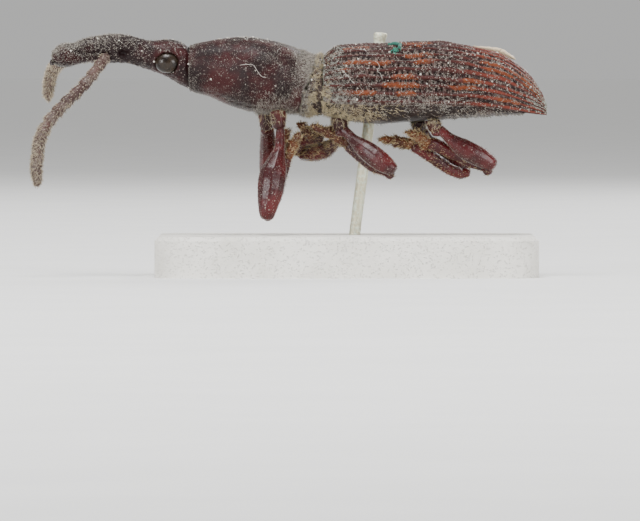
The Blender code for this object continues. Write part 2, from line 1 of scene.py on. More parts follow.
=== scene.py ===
"""The looks of the pinned weevil: skins, wing cases, bristles, dust, pin, base and studio.

Shapes are worked on in millimetres in the insect's own frame, where X is 0 at the tip of
the snout, Y is 0 on the mid-line with the animal's left at -Y, and Z is 0 on the body's axis.
"""

import math

import bmesh
import bpy
import numpy as np
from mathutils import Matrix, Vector, noise
from mathutils.bvhtree import BVHTree


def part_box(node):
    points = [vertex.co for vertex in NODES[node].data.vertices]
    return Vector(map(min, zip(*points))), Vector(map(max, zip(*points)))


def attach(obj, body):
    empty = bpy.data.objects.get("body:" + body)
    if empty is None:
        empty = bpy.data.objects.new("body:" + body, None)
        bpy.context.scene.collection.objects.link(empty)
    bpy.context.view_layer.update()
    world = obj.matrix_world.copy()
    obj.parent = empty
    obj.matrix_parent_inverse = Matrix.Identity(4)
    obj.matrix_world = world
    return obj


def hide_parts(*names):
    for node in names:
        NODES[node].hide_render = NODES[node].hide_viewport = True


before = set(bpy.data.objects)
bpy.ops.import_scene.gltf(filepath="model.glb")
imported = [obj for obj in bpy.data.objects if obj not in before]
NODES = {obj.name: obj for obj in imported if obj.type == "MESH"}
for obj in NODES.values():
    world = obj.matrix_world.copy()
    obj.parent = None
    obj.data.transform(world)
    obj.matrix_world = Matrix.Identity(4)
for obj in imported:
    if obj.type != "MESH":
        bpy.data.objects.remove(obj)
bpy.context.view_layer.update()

MM = 0.001
TAIL_X, BASE_TOP_Z = 18.24, -5.91  # in the insect's frame
ORIGIN = np.array((
    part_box("elytron_L")[1].x / MM - TAIL_X,
    0.0,
    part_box("stand_base")[1].z / MM - BASE_TOP_Z,
))
FLOOR_Z = -ORIGIN[2]
LEFT, RIGHT = -1, 1
RNG = np.random.default_rng(7)


def place(point):
    """From millimetres in the insect's frame to metres in the shared frame."""
    return Vector((np.asarray(point, float) + ORIGIN) * MM)


def linked(name, data):
    """A new object with that data, in the scene."""
    made = bpy.data.objects.new(name, data)
    bpy.context.scene.collection.objects.link(made)
    return made


# Camera and studio

PHOTO_WIDTH, PHOTO_HEIGHT = 640, 521
PIXELS_PER_MM = 27.2
SNOUT_PIXEL, AXIS_PIXEL = 50.0, 74.2  # the frame's X = 0 and Z = 0 in the photograph
LENS, SENSOR = 500.0, 36.0
CLIP_START, CLIP_END = 0.01, 40.0
HORIZON, ZENITH = (0.512, 0.512, 0.507), (0.65, 0.65, 0.645)  # the surround's glow
FLOOR_REACH = 12000.0
LIT_MIDDLE = (9.0, 0.0, 0.0)  # what the lights are turned to
LIGHTS = (  # name, place, size and power
    ("top", (-20.0, -70.0, 260.0), 140.0, 1.06),
    ("left", (-135.0, -152.0, 52.0), 80.0, 0.29),
    ("right", (150.0, -145.0, 46.0), 80.0, 0.25),
    ("behind", (125.0, 190.0, 125.0), 100.0, 0.38),
)


def make_camera():
    """A long lens square to the insect's left side, tilted down by about one degree."""
    distance = LENS / SENSOR * (PHOTO_WIDTH / PIXELS_PER_MM)
    x = (PHOTO_WIDTH / 2 - SNOUT_PIXEL) / PIXELS_PER_MM
    drop = (PHOTO_HEIGHT / 2 - AXIS_PIXEL) / PIXELS_PER_MM
    data = bpy.data.cameras.new("camera")
    data.lens = LENS
    data.sensor_width = SENSOR
    data.clip_start = CLIP_START
    data.clip_end = CLIP_END
    camera = linked("camera", data)
    tilt = math.atan(drop / distance)
    camera.location = place((x, -distance * math.cos(tilt), 0.0))
    camera.rotation_euler = (math.pi / 2 - tilt, 0.0, 0.0)
    bpy.context.scene.camera = camera


def make_light(name, spot, size, power):
    """A square soft light, turned to the insect's middle."""
    data = bpy.data.lights.new(name, "AREA")
    data.shape = "SQUARE"
    data.size = size * MM
    data.energy = power
    light = linked(name, data)
    light.location = place(spot)
    light.rotation_euler = (place(LIT_MIDDLE) - light.location).to_track_quat("-Z", "Y").to_euler()


def make_studio():
    """A pale floor without edges, an even pale surround and four soft lights."""
    corners = [(-1, -1), (1, -1), (1, 1), (-1, 1)]
    mesh = bpy.data.meshes.new("floor")
    mesh.from_pydata(
        [place((x * FLOOR_REACH, y * FLOOR_REACH, FLOOR_Z)) for x, y in corners], [], [(0, 1, 2, 3)]
    )
    mesh.materials.append(floor_material())
    floor = linked("floor", mesh)
    world = bpy.data.worlds.new("studio")
    bpy.context.scene.world = world
    world.use_nodes = True
    nodes = Nodes(world.node_tree)
    direction = nodes.add("TexCoord", "Generated", {})
    upward = nodes.ramp(nodes.add("SeparateXYZ", "Z", {"Vector": direction}), 0.0, 1.0)
    glow = world.node_tree.nodes["Background"].inputs["Color"]
    nodes.put(glow, nodes.blend(upward, HORIZON, ZENITH))
    for light in LIGHTS:
        make_light(*light)


# Materials

SPECK_WIDTH = 0.42
DUST_ROUGHNESS, COAT_ROUGHNESS = 0.85, 0.26


class Nodes:
    """A node tree in the making: most methods add a node and give back its output."""

    def __init__(self, tree):
        self.tree = tree

    def put(self, socket, value):
        """Give an input a plain value, or link it to another node's output."""
        if isinstance(value, bpy.types.NodeSocket):
            self.tree.links.new(value, socket)
        else:
            socket.default_value = (*value, 1) if socket.type == "RGBA" else value

    def add(self, kind, output, values, **settings):
        """A node of that kind, with values for its inputs."""
        made = self.tree.nodes.new("ShaderNode" + kind)
        for name, setting in settings.items():
            setattr(made, name, setting)
        for socket, value in values.items():
            self.put(made.inputs[socket], value)
        return made.outputs[output]

    def noise(self, size, detail=3.0, rough=0.55, at=None):
        """Noise whose blobs are about size millimetres wide, from 0 to 1."""
        values = {"Vector": at or self.at, "Scale": 1 / size, "Detail": detail, "Roughness": rough}
        return self.add("TexNoise", "Fac", values)

    def stretched(self, factors):
        """The coordinates stretched by a factor along each axis."""
        return self.add("VectorMath", "Vector", {0: self.at, 1: factors}, operation="MULTIPLY")

    def cells(self, size, output="Distance"):
        """Voronoi cells about size millimetres wide."""
        return self.add("TexVoronoi", output, {"Vector": self.at, "Scale": 1 / size})

    def ramp(self, value, low, high, out_low=0.0, out_high=1.0):
        """A smooth step of a value from out_low to out_high."""
        values = {"Value": value, "From Min": low, "From Max": high, "To Min": out_low, "To Max": out_high}
        return self.add("MapRange", "Result", values, interpolation_type="SMOOTHSTEP")

    def math(self, operation, first, second):
        """One sum, product or the like of two values; either may be a plain number."""
        return self.add("Math", "Value", {0: first, 1: second}, operation=operation)

    def blend(self, share, first, second):
        """Two colours mixed by a share; each may be plain or another mix."""
        return self.add("Mix", 2, {"Factor": share, 6: first, 7: second}, data_type="RGBA")

    def attribute(self, name):
        """A number painted on the mesh's points in this script."""
        return self.add("Attribute", "Fac", {}, attribute_name=name)

    def specks(self, size, share):
        """Small round specks: a share of the cells have one, with fuzzy edges."""
        spot = self.ramp(self.cells(size), SPECK_WIDTH, SPECK_WIDTH * 0.6)
        picked = self.add("SeparateColor", "Red", {"Color": self.cells(size, "Color")})
        return self.math("MULTIPLY", spot, self.ramp(picked, 1 - share, 1 - share + 0.02))

    def bump(self, height, depth):
        """Bump of that depth in millimetres, on the shader's normal."""
        self.surface({"Normal": self.add("Bump", "Normal", {"Distance": depth * MM, "Height": height})})

    def surface(self, values):
        """Values for the shader's inputs."""
        for socket, value in values.items():
            self.put(self.shader.inputs[socket], value)


def new_material(name):
    """A material, and its nodes with the shader and object coordinates in millimetres."""
    made = bpy.data.materials.new(name)
    made.use_nodes = True
    nodes = Nodes(made.node_tree)
    nodes.shader = made.node_tree.nodes["Principled BSDF"]
    position = nodes.add("TexCoord", "Object", {})
    nodes.at = nodes.add("VectorMath", "Vector", {0: position, "Scale": 1 / MM}, operation="SCALE")
    return made, nodes


def horn_material(name, dark, light, dust, dust_share, roughness, grain, grain_depth,
                  shine=0.08, specular=0.18):
    """Insect horn: two tones of maroon, patchy pale dust, specks and a fine grain."""
    made, nodes = new_material(name)
    tone = nodes.ramp(nodes.noise(1.3, 4.0, 0.6), 0.42, 0.66)
    film = nodes.ramp(nodes.noise(0.5, 6.0, 0.7), 0.70 - dust_share, 1.0 - dust_share)
    pale = nodes.math("MAXIMUM", nodes.math("MULTIPLY", film, 0.30), nodes.specks(0.07, dust_share))
    nodes.surface({
        "Base Color": nodes.blend(pale, nodes.blend(tone, dark, light), dust),
        "Roughness": nodes.ramp(pale, 0.0, 0.8, roughness, DUST_ROUGHNESS),
        "Specular IOR Level": specular,
        "Coat Weight": shine,
        "Coat Roughness": COAT_ROUGHNESS,
    })
    pits = nodes.ramp(nodes.cells(grain), 0.0, 0.45)
    fine = nodes.math("MULTIPLY", nodes.noise(0.05, 4.0), 0.6)
    nodes.bump(nodes.math("ADD", pits, fine), grain_depth)
    return made


def wing_material():
    """Wing cases: dark grooves with painted shade in their pits, browner ridges, orange stripes and grey dust
    in the grooves.
    """
    made, nodes = new_material("wing_case_horn")
    ridge, rear = nodes.attribute("ridge"), nodes.attribute("rear")
    tone = nodes.ramp(nodes.noise(0.7), 0.3, 0.7)
    horn = nodes.blend(tone, (0.012, 0.005, 0.005), (0.032, 0.010, 0.009))
    crest = nodes.ramp(ridge, 0.35, 0.95, 0.0, 0.6)
    horn = nodes.blend(crest, horn, (0.060, 0.013, 0.010))
    rear_crest = nodes.math("MULTIPLY", rear, nodes.ramp(ridge, 0.30, 0.80, 0.0, 0.8))
    horn = nodes.blend(rear_crest, horn, (0.135, 0.026, 0.015))
    ragged = nodes.noise(0.09, 5.0, 0.7, at=nodes.stretched((0.35, 1.0, 1.0)))
    edge = nodes.math("ADD", nodes.attribute("stripe"), nodes.math("MULTIPLY", ragged, 3.8))
    orange = nodes.blend(nodes.noise(0.2), (0.085, 0.017, 0.006), (0.175, 0.043, 0.012))
    dull = nodes.ramp(nodes.noise(1.1, 2.0), 0.50, 0.62)
    dull = nodes.math("MULTIPLY", dull, nodes.ramp(rear, 0.0, 1.0, 1.0, 0.0))
    orange = nodes.blend(dull, orange, (0.075, 0.018, 0.010))
    colour = nodes.blend(nodes.ramp(edge, 2.32, 2.78), horn, orange)
    colour = nodes.blend(nodes.ramp(nodes.attribute("scar"), 0.3, 0.6), colour, (0.75, 0.62, 0.48))
    # Painted shade: the pits are coloured almost black, as the shade inside their hollows.
    colour = nodes.blend(nodes.attribute("pit"), colour, (0.006, 0.004, 0.004))
    dust = nodes.math("MULTIPLY", nodes.ramp(ridge, 0.55, 0.05), nodes.attribute("dusty"))
    dust = nodes.math("MULTIPLY", dust, nodes.ramp(nodes.noise(0.16, 5.0, 0.7), 0.46, 0.66))
    dust = nodes.math("MAXIMUM", nodes.math("MULTIPLY", dust, 0.55), nodes.specks(0.085, 0.30))
    nodes.surface({
        "Base Color": nodes.blend(dust, colour, (0.22, 0.175, 0.15)),
        "Roughness": nodes.ramp(dust, 0.0, 0.8, 0.36, DUST_ROUGHNESS),
        "Specular IOR Level": 0.16,
    })
    nodes.bump(nodes.noise(0.045, 4.0), 0.012)
    return made


def hair_material(name, pale, deep, roughness=0.55):
    """Bristles, down and dust, each strand or grain a little different by its painted number."""
    made, nodes = new_material(name)
    nodes.surface({
        "Base Color": nodes.blend(nodes.attribute("strand"), deep, pale),
        "Roughness": roughness,
        "Sheen Weight": 0.2,
    })
    return made


def eye_material():
    """A glossy dark brown eye with faint facets."""
    made, nodes = new_material("eye_glass")
    tone = nodes.ramp(nodes.noise(0.3), 0.3, 0.7)
    nodes.surface({
        "Base Color": nodes.blend(tone, (0.007, 0.0042, 0.0028), (0.022, 0.0135, 0.0075)),
        "Roughness": 0.20,
        "Specular IOR Level": 0.30,
    })
    nodes.bump(nodes.ramp(nodes.cells(0.035), 0.55, 0.1), 0.002)
    return made


def pin_material():
    """Pale worn plating over brass, with patches of green-white crust."""
    made, nodes = new_material("pin_metal")
    worn = nodes.ramp(nodes.noise(0.25, 5.0, at=nodes.stretched((1, 1, 0.35))), 0.40, 0.62)
    metal = nodes.blend(worn, (0.50, 0.47, 0.33), (0.64, 0.62, 0.47))
    crust = nodes.ramp(nodes.noise(0.12, 5.0, 0.7), 0.48, 0.62)
    nodes.surface({
        "Base Color": nodes.blend(crust, metal, (0.60, 0.66, 0.55)),
        "Metallic": nodes.ramp(crust, 0.0, 1.0, 0.4, 0.0),
        "Roughness": nodes.ramp(crust, 0.0, 1.0, 0.38, 0.8),
    })
    nodes.bump(nodes.noise(0.07, 5.0), 0.02)
    return made


def base_material():
    """Off-white closed-cell foam with fine pores, painted a little darker as shade in their hollows."""
    made, nodes = new_material("base_foam")
    mottle = nodes.ramp(nodes.noise(1.4), 0.3, 0.7)
    foam = nodes.blend(mottle, (0.70, 0.68, 0.62), (0.80, 0.78, 0.73))
    pores = nodes.ramp(nodes.cells(0.09), 0.08, 0.42)
    # Painted shade: the pores are coloured a little darker than the foam, as the shade in their hollows.
    nodes.surface({"Base Color": nodes.blend(pores, (0.66, 0.64, 0.59), foam), "Roughness": 0.8})
    nodes.bump(pores, 0.03)
    return made


def floor_material():
    """Plain pale paper."""
    made, nodes = new_material("floor_paper")
    tone = nodes.ramp(nodes.noise(6.0), 0.3, 0.7)
    paper = nodes.blend(tone, (0.80, 0.80, 0.79), (0.83, 0.83, 0.82))
    nodes.surface({"Base Color": paper, "Roughness": 0.9})
    return made


# Mesh tools

def as_arrays(mesh):
    """A mesh's points, in millimetres in the insect's frame, and its triangles."""
    mesh.calc_loop_triangles()
    points = np.empty(len(mesh.vertices) * 3)
    mesh.vertices.foreach_get("co", points)
    faces = np.empty(len(mesh.loop_triangles) * 3, int)
    mesh.loop_triangles.foreach_get("vertices", faces)
    return points.reshape(-1, 3) / MM - ORIGIN, faces.reshape(-1, 3)


def points_of(made):
    """An object's points, in millimetres in the insect's frame."""
    return as_arrays(made.data)[0]


def normals_of(made):
    """The direction out of the surface at each point."""
    normals = np.empty(len(made.data.vertices) * 3)
    made.data.vertex_normals.foreach_get("vector", normals)
    return normals.reshape(-1, 3)


def set_points(mesh, points):
    """Put the mesh's points at places given in millimetres in the insect's frame."""
    mesh.vertices.foreach_set("co", ((points + ORIGIN) * MM).astype(np.float32).ravel())
    mesh.update()


def new_object(name, points, faces, material):
    """A smooth object from arrays of points, in the insect's millimetres, and of faces."""
    mesh = bpy.data.meshes.new(name)
    faces = np.asarray(faces)
    mesh.vertices.add(len(points))
    mesh.loops.add(faces.size)
    mesh.polygons.add(len(faces))
    mesh.loops.foreach_set("vertex_index", faces.ravel().astype(np.int32))
    mesh.polygons.foreach_set("loop_start", np.arange(0, faces.size, faces.shape[1], dtype=np.int32))
    set_points(mesh, np.asarray(points, float))
    mesh.update(calc_edges=True)
    mesh.validate()
    mesh.shade_smooth()
    mesh.materials.append(material)
    return linked(name, mesh)


def paint(mesh, name, values):
    """Store one number for each point, for the material to read."""
    layer = mesh.attributes.new(name, "FLOAT", "POINT")
    layer.data.foreach_set("value", np.asarray(values, np.float32))


SLOT_OF = {}


def kept(made, nodes, slot):
    """Hang a finished piece on the part, in the place of CAD nodes."""
    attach(made, "root")
    if nodes:
        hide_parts(*nodes)
    SLOT_OF[made.name] = slot
    return made


def kept_on(skin, made):
    """Hang a coat or a piece of dirt on the part, in its skin's slot."""
    return kept(made, (), SLOT_OF[skin.name])


def ring_faces(rings, around):
    """Four-sided faces between closed rings of points that follow one another."""
    index = np.arange(rings * around).reshape(rings, around)
    after = np.roll(index, -1, axis=1)
    return np.stack((index[:-1], after[:-1], after[1:], index[1:]), axis=2).reshape(-1, 4)


def round_ball(around, up):
    """Points of a ball of radius one, in rings from pole to pole, and its four-sided faces."""
    tilt = np.repeat(math.pi * np.arange(up + 1) / up, around)
    turn = np.tile(2 * math.pi * np.arange(around) / around, up + 1)
    points = (np.sin(tilt) * np.cos(turn), np.sin(tilt) * np.sin(turn), np.cos(tilt))
    return np.stack(points, axis=1), ring_faces(up + 1, around)


def close_ends(made):
    """Fill the open front and tail edges of a lofted piece."""
    shape = bmesh.new()
    shape.from_mesh(made.data)
    open_edges = [edge for edge in shape.edges if len(edge.link_faces) == 1]
    bmesh.ops.holes_fill(shape, edges=open_edges, sides=0)
    bmesh.ops.triangulate(shape, faces=[face for face in shape.faces if len(face.verts) > 4])
    bmesh.ops.recalc_face_normals(shape, faces=shape.faces)
    shape.to_mesh(made.data)
    shape.free()


def tube(name, path, radii, sides, material):
    """A closed round tube along a path of points."""
    run = unit(np.gradient(path, axis=0))
    side = unit(np.cross(run, (0.3, 0.2, 1.0)))
    up = np.cross(run, side)
    turn = np.linspace(0, 2 * math.pi, sides, endpoint=False)
    ring = side[:, None] * np.cos(turn)[None, :, None] + up[:, None] * np.sin(turn)[None, :, None]
    points = (path[:, None] + ring * np.asarray(radii)[:, None, None]).reshape(-1, 3)
    made = new_object(name, points, ring_faces(len(path), sides), material)
    close_ends(made)
    return made


def through(rows, steps):
    """Rows of numbers on a smooth curve through the given ones, steps to each span."""
    out = []
    for i in range(len(rows) - 1):
        before, start = rows[max(i - 1, 0)], rows[i]
        end, after = rows[i + 1], rows[min(i + 2, len(rows) - 1)]
        for step in range(steps):
            t = step / steps
            out.append(tuple(
                b + 0.5 * t * (c - a + t * (2 * a - 5 * b + 4 * c - d + t * (3 * (b - c) + d - a)))
                for a, b, c, d in zip(before, start, end, after)
            ))
    out.append(rows[-1])
    return np.array(out)


SKIN_VOXEL = 0.034  # millimetres
AT_SEAM = 0.03  # points this near to a seam reach over it
BALL_PAIRS, BALL_SIDES = 6, 12


def joint_ball(node, other, radius):
    """Points and faces of a ball where a node comes nearest to another."""
    first, second = (points_of(NODES[name]) for name in (node, other))
    apart = np.linalg.norm(first[:, None] - second[None], axis=2)
    rows, columns = np.unravel_index(np.argsort(apart, axis=None)[:BALL_PAIRS], apart.shape)
    centre = (first[rows] + second[columns]).mean(0) / 2
    points, faces = round_ball(BALL_SIDES, BALL_SIDES)
    return centre + radius * points, faces[:, (0, 3, 2, 0, 2, 1)].reshape(-1, 3)


def fused(name, nodes, material, voxel=SKIN_VOXEL, rounds=6, reach=None, joint=None):
    """One fine, even surface round copies of CAD nodes.

    reach is (x, distance): points near x move back by distance, so that the copy runs
    into the next node and the two fuse without a seam. joint is (node, radius): a ball
    is added where the copy comes nearest to that node.
    """
    pieces = [as_arrays(NODES[node].data) for node in nodes]
    if reach:
        for points, _ in pieces:
            points[np.abs(points[:, 0] - reach[0]) < AT_SEAM, 0] += reach[1]
    if joint:
        pieces.append(joint_ball(nodes[0], *joint))
    starts = np.cumsum([0] + [len(points) for points, _ in pieces])
    faces = np.vstack([part + start for (_, part), start in zip(pieces, starts)])
    points = np.round(np.vstack([points for points, _ in pieces]), 4)
    welded, index = np.unique(points, axis=0, return_inverse=True)
    mesh = bpy.data.meshes.new("rough")
    mesh.from_pydata(welded.tolist(), [], index.ravel()[faces].tolist())
    rough = linked("rough", mesh)
    change = rough.modifiers.new("fuse", "REMESH")
    change.mode = "VOXEL"
    change.voxel_size = voxel
    soften = rough.modifiers.new("soften", "SMOOTH")
    soften.factor = 0.5
    soften.iterations = rounds
    graph = bpy.context.evaluated_depsgraph_get()
    fine = bpy.data.meshes.new_from_object(rough.evaluated_get(graph))
    bpy.data.objects.remove(rough, do_unlink=True)
    fine.name = name
    smooth_points = np.empty(len(fine.vertices) * 3)
    fine.vertices.foreach_get("co", smooth_points)
    set_points(fine, smooth_points.reshape(-1, 3))
    fine.materials.clear()
    fine.materials.append(material)
    fine.shade_smooth()
    return linked(name, fine)


def noise_over(points, seed=0.0):
    """Smooth noise between -1 and 1 at each point; seed slides it along."""
    offset = Vector((seed, 0, 0))
    return np.array([noise.noise(Vector(point) + offset) for point in points])


def roughened(made, size, height, seed=0.0):
    """Move a skin's points in and out by noise with blobs of that size."""
    points, out = points_of(made), normals_of(made)
    set_points(made.data, points + out * (noise_over(points / size, seed) * height)[:, None])


def dented(made, centre, radii, depth):
    """Press a smooth hollow, or with a negative depth a lump, into a skin."""
    points, out = points_of(made), normals_of(made)
    near = (((points - centre) / radii) ** 2).sum(1)
    set_points(made.data, points - out * (depth * np.exp(-near * 1.5))[:, None])


# Bristles, down, dust and fibres

UV_PATCH, UV_START, UV_RUN = 0.003, 0.01, 0.97
STRAND_FACES = np.array((
    (0, 2, 1),
    (0, 1, 4), (0, 4, 3), (1, 2, 5), (1, 5, 4), (2, 0, 3), (2, 3, 5),
    (3, 4, 6), (4, 5, 6), (5, 3, 6),
))
GRAIN_LIMITS, CRUMB_SIZE, CRUMB_LIMITS = (0.008, 0.05), 0.055, (0.035, 0.11)
GRAIN_POINTS = np.array((
    (1, 0, 0), (-1, 0, 0), (0, 1, 0), (0, -1, 0), (0, 0, 1), (0, 0, -1),
), float)
GRAIN_FACES = np.array((
    (0, 2, 4), (2, 1, 4), (1, 3, 4), (3, 0, 4), (2, 0, 5), (1, 2, 5), (3, 1, 5), (0, 3, 5),
))
STRING_KNOTS = 9


def spots_on(made, count, wanted=None):
    """Random places on a skin, with their normals, where wanted(points, normals) allows."""
    points, faces = as_arrays(made.data)
    a, b, c = (points[faces[:, k]] for k in range(3))
    cross = np.cross(b - a, c - a)
    area = np.linalg.norm(cross, axis=1)
    normal = cross / np.maximum(area, 1e-12)[:, None]
    weight = area.copy()
    if "dusty" in made.data.attributes:
        dusty = np.empty(len(points))
        made.data.attributes["dusty"].data.foreach_get("value", dusty)
        weight *= dusty[faces].mean(1)
    if wanted is not None:
        weight *= wanted((a + b + c) / 3, normal)
    pick = RNG.choice(len(faces), size=count, p=weight / weight.sum())
    u, v = RNG.random(count), RNG.random(count)
    flip = u + v > 1
    u[flip], v[flip] = 1 - u[flip], 1 - v[flip]
    spot = a[pick] + (b - a)[pick] * u[:, None] + (c - a)[pick] * v[:, None]
    return spot, normal[pick]


def unit(vectors):
    """Vectors at length one."""
    return vectors / np.maximum(np.linalg.norm(vectors, axis=1), 1e-9)[:, None]


def patch_map(mesh, roots, corners_each):
    """The OFBake map: each strand or grain is a small patch at its root's own place.

    The place is the root's run along the body and its turn round the body's axis.
    """
    low, high = roots.min(0), roots.max(0)
    u = UV_START + UV_RUN * (roots[:, 0] - low[0]) / max(high[0] - low[0], 1e-6)
    middle = (low + high) / 2
    turn = np.arctan2(roots[:, 2] - middle[2], roots[:, 1] - middle[1])
    v = UV_START + UV_RUN * (turn / (2 * math.pi) + 0.5)
    along = np.linspace(0, UV_PATCH, corners_each)
    rise = UV_PATCH * (np.arange(corners_each) % 3 == 0)
    uv = np.stack((u[:, None] + along[None, :], v[:, None] + rise[None, :]), axis=2)
    mesh.uv_layers.new(name="OFBake").data.foreach_set("uv", uv.astype(np.float32).ravel())


def repeated(name, roots, points, faces, material):
    """One mesh from many copies of a small shape, each with its own number and map patch."""
    count, each = points.shape[:2]
    all_faces = faces[None] + each * np.arange(count)[:, None, None]
    made = new_object(name, points.reshape(-1, 3), all_faces.reshape(-1, 3), material)
    paint(made.data, "strand", np.repeat(RNG.random(count), each))
    patch_map(made.data, roots, faces.size)
    return made


def bristles(name, roots, lie, length, width, curl, material):
    """Thin three-sided spines: roots, direction at the root, length, width and bend."""
    count = len(roots)
    length = length[:, None]
    side = unit(np.cross(lie, RNG.normal(size=(count, 3))))
    other = np.cross(lie, side)
    bend = side * curl
    mid = roots + (lie + bend * 0.35) * length * 0.5
    points = np.empty((count, 7, 3))
    for k in range(3):
        turn = 2 * math.pi * k / 3
        out = (side * math.cos(turn) + other * math.sin(turn)) * width / 2
        points[:, k] = roots - lie * length * 0.08 + out
        points[:, 3 + k] = mid + out * 0.75
    points[:, 6] = roots + unit(lie + bend) * length
    return repeated(name, roots, points, STRAND_FACES, material)


def grains(name, roots, out, size, material, limits=GRAIN_LIMITS):
    """Tiny uneven crystals of dust sitting on the skin, most small and a few large."""
    count = len(roots)
    size = (size * np.exp(RNG.normal(scale=0.38, size=count))).clip(*limits)[:, None, None]
    first = unit(RNG.normal(size=(count, 3)))
    second = unit(np.cross(first, RNG.normal(size=(count, 3))))
    turn = np.stack((first, second, np.cross(first, second)), axis=1)
    uneven = RNG.uniform(0.6, 1.2, (count, 6, 1))
    points = np.einsum("pk,nkj->npj", GRAIN_POINTS, turn) * uneven * size / 2
    points += (roots + out * size[:, 0] * 0.18)[:, None]
    return repeated(name, roots, points, GRAIN_FACES, material)


def lying(out, heading, lift, spread):
    """Directions that lean along heading over the skin, lifted off it and scattered."""
    heading = np.broadcast_to(np.asarray(heading, float), out.shape)
    along = heading - out * (out * heading).sum(1)[:, None]
    return unit(along + out * lift + RNG.normal(scale=spread, size=out.shape))


def pile(name, skin, count, wanted, heading, lift, spread, length, width, curl, hair):
    """A coat of bristles on a skin; length is its least and greatest."""
    spot, out = spots_on(skin, count, wanted)
    lie = lying(out, heading, lift, spread)
    kept_on(skin, bristles(name, spot, lie, RNG.uniform(*length, count), width, curl, hair))


def parted_pile(skin, spot, lie, length, width, curl, parts):
    """One set of strands in several hairs: each part has a name, its strands and its hair."""
    for name, pick, hair in parts:
        kept_on(skin, bristles(name, spot[pick], lie[pick], length[pick], width, curl, hair))


def dusting(name, skin, count, wanted, size, material, limits=GRAIN_LIMITS):
    """A coat of grains on a skin."""
    spot, out = spots_on(skin, count, wanted)
    kept_on(skin, grains(name, spot, out, size, material, limits))


def surface_of(made):
    """A search tree that finds the nearest place on a skin."""
    return BVHTree.FromPolygons([tuple(p) for p in points_of(made)], [
        tuple(face.vertices) for face in made.data.polygons
    ])


def strings(name, skin, starts, length, radius, lift, wander, material):
    """Loose fibres that wander over a skin: thin three-sided tubes, joined in one mesh."""
    headings = RNG.normal(size=starts.shape)
    lengths = RNG.uniform(*length, len(starts))
    tree = surface_of(skin)
    last_knot, points, faces = STRING_KNOTS - 1, [], []
    for start, heading, run_length in zip(starts, headings, lengths):
        spot, ahead = Vector(start), Vector(heading).normalized()
        path = []
        for _ in range(STRING_KNOTS):
            near, out, _, _ = tree.find_nearest(spot)
            path.append((near + out * lift, out.copy()))
            turn = Vector(RNG.normal(scale=wander, size=3))
            ahead = (ahead + turn - out * out.dot(ahead)).normalized()
            spot = near + ahead * run_length / STRING_KNOTS
        first = len(points)
        for k, (middle, out) in enumerate(path):
            before, after = path[max(k - 1, 0)][0], path[min(k + 1, last_knot)][0]
            run = (after - before).normalized()
            side = run.cross(out).normalized()
            up = side.cross(run)
            thin = radius * (0.5 if k in (0, last_knot) else 1.0)
            for j in range(3):
                angle = 2 * math.pi * j / 3
                points.append(middle + (side * math.cos(angle) + up * math.sin(angle)) * thin)
        for k in range(last_knot):
            for j in range(3):
                a, b = first + 3 * k + j, first + 3 * k + (j + 1) % 3
                faces += [(a, b, b + 3), (a, b + 3, a + 3)]
        last = first + 3 * last_knot
        faces += [(first, first + 2, first + 1), (last, last + 1, last + 2)]
    made = new_object(name, points, faces, material)
    paint(made.data, "strand", np.repeat(RNG.random(len(starts)), STRING_KNOTS * 3))
    patch_map(made.data, starts, len(faces) // len(starts) * 3)
    kept_on(skin, made)


# The materials: two tones and the dust's colour, the dust's share, roughness and grain

HORN = horn_material(
    "horn", (0.011, 0.0050, 0.0052), (0.034, 0.0068, 0.0072), (0.15, 0.127, 0.114),
    0.18, 0.42, 0.045, 0.012, shine=0.05, specular=0.12
)
LEG_HORN = horn_material(
    "leg_horn", (0.028, 0.0034, 0.0042), (0.082, 0.0075, 0.0085), (0.24, 0.19, 0.16),
    0.06, 0.28, 0.08, 0.006, shine=0.22
)
FOOT_HORN = horn_material(
    "foot_horn", (0.05, 0.014, 0.007), (0.14, 0.045, 0.013), (0.40, 0.28, 0.16),
    0.18, 0.5, 0.07, 0.008
)
COXA_HORN = horn_material(
    "coxa_horn", (0.022, 0.0050, 0.0052), (0.062, 0.012, 0.011), (0.26, 0.21, 0.16),
    0.16, 0.30, 0.08, 0.008, shine=0.14
)
FEELER_HORN = horn_material(
    "feeler_horn", (0.040, 0.020, 0.018), (0.085, 0.045, 0.038), (0.30, 0.25, 0.21),
    0.26, 0.5, 0.06, 0.010
)
UNDER_HORN = horn_material(
    "under_horn", (0.012, 0.0065, 0.0058), (0.034, 0.018, 0.015), (0.26, 0.21, 0.16),
    0.16, 0.55, 0.08, 0.014
)
WING_HORN = wing_material()
DUST = hair_material("dust", (0.44, 0.41, 0.35), (0.060, 0.048, 0.042), 0.9)
GREEN_DUST = hair_material("green_dust", (0.38, 0.41, 0.35), (0.10, 0.11, 0.09), 0.9)
CRUMB = hair_material("crumb", (0.70, 0.67, 0.60), (0.32, 0.29, 0.24), 0.9)
PALE_HAIR = hair_material("pale_hair", (0.62, 0.52, 0.36), (0.20, 0.15, 0.10))
GOLD_HAIR = hair_material("gold_hair", (0.60, 0.49, 0.28), (0.12, 0.09, 0.055))
STRAW_HAIR = hair_material("straw_hair", (0.68, 0.56, 0.32), (0.15, 0.11, 0.06))
GREY_HAIR = hair_material("grey_hair", (0.40, 0.36, 0.30), (0.07, 0.055, 0.045))
FOOT_HAIR = hair_material("foot_hair", (0.54, 0.40, 0.19), (0.070, 0.036, 0.014))
FIBRE = hair_material("loose_fibre", (0.80, 0.78, 0.74), (0.58, 0.55, 0.50), 0.7)
LINT = hair_material("teal_lint", (0.004, 0.205, 0.130), (0.002, 0.085, 0.058), 0.7)
FLAKE = hair_material("flake", (0.80, 0.72, 0.56), (0.55, 0.44, 0.30))


# Body skins. A hollow is its centre, its reach along each axis and its depth

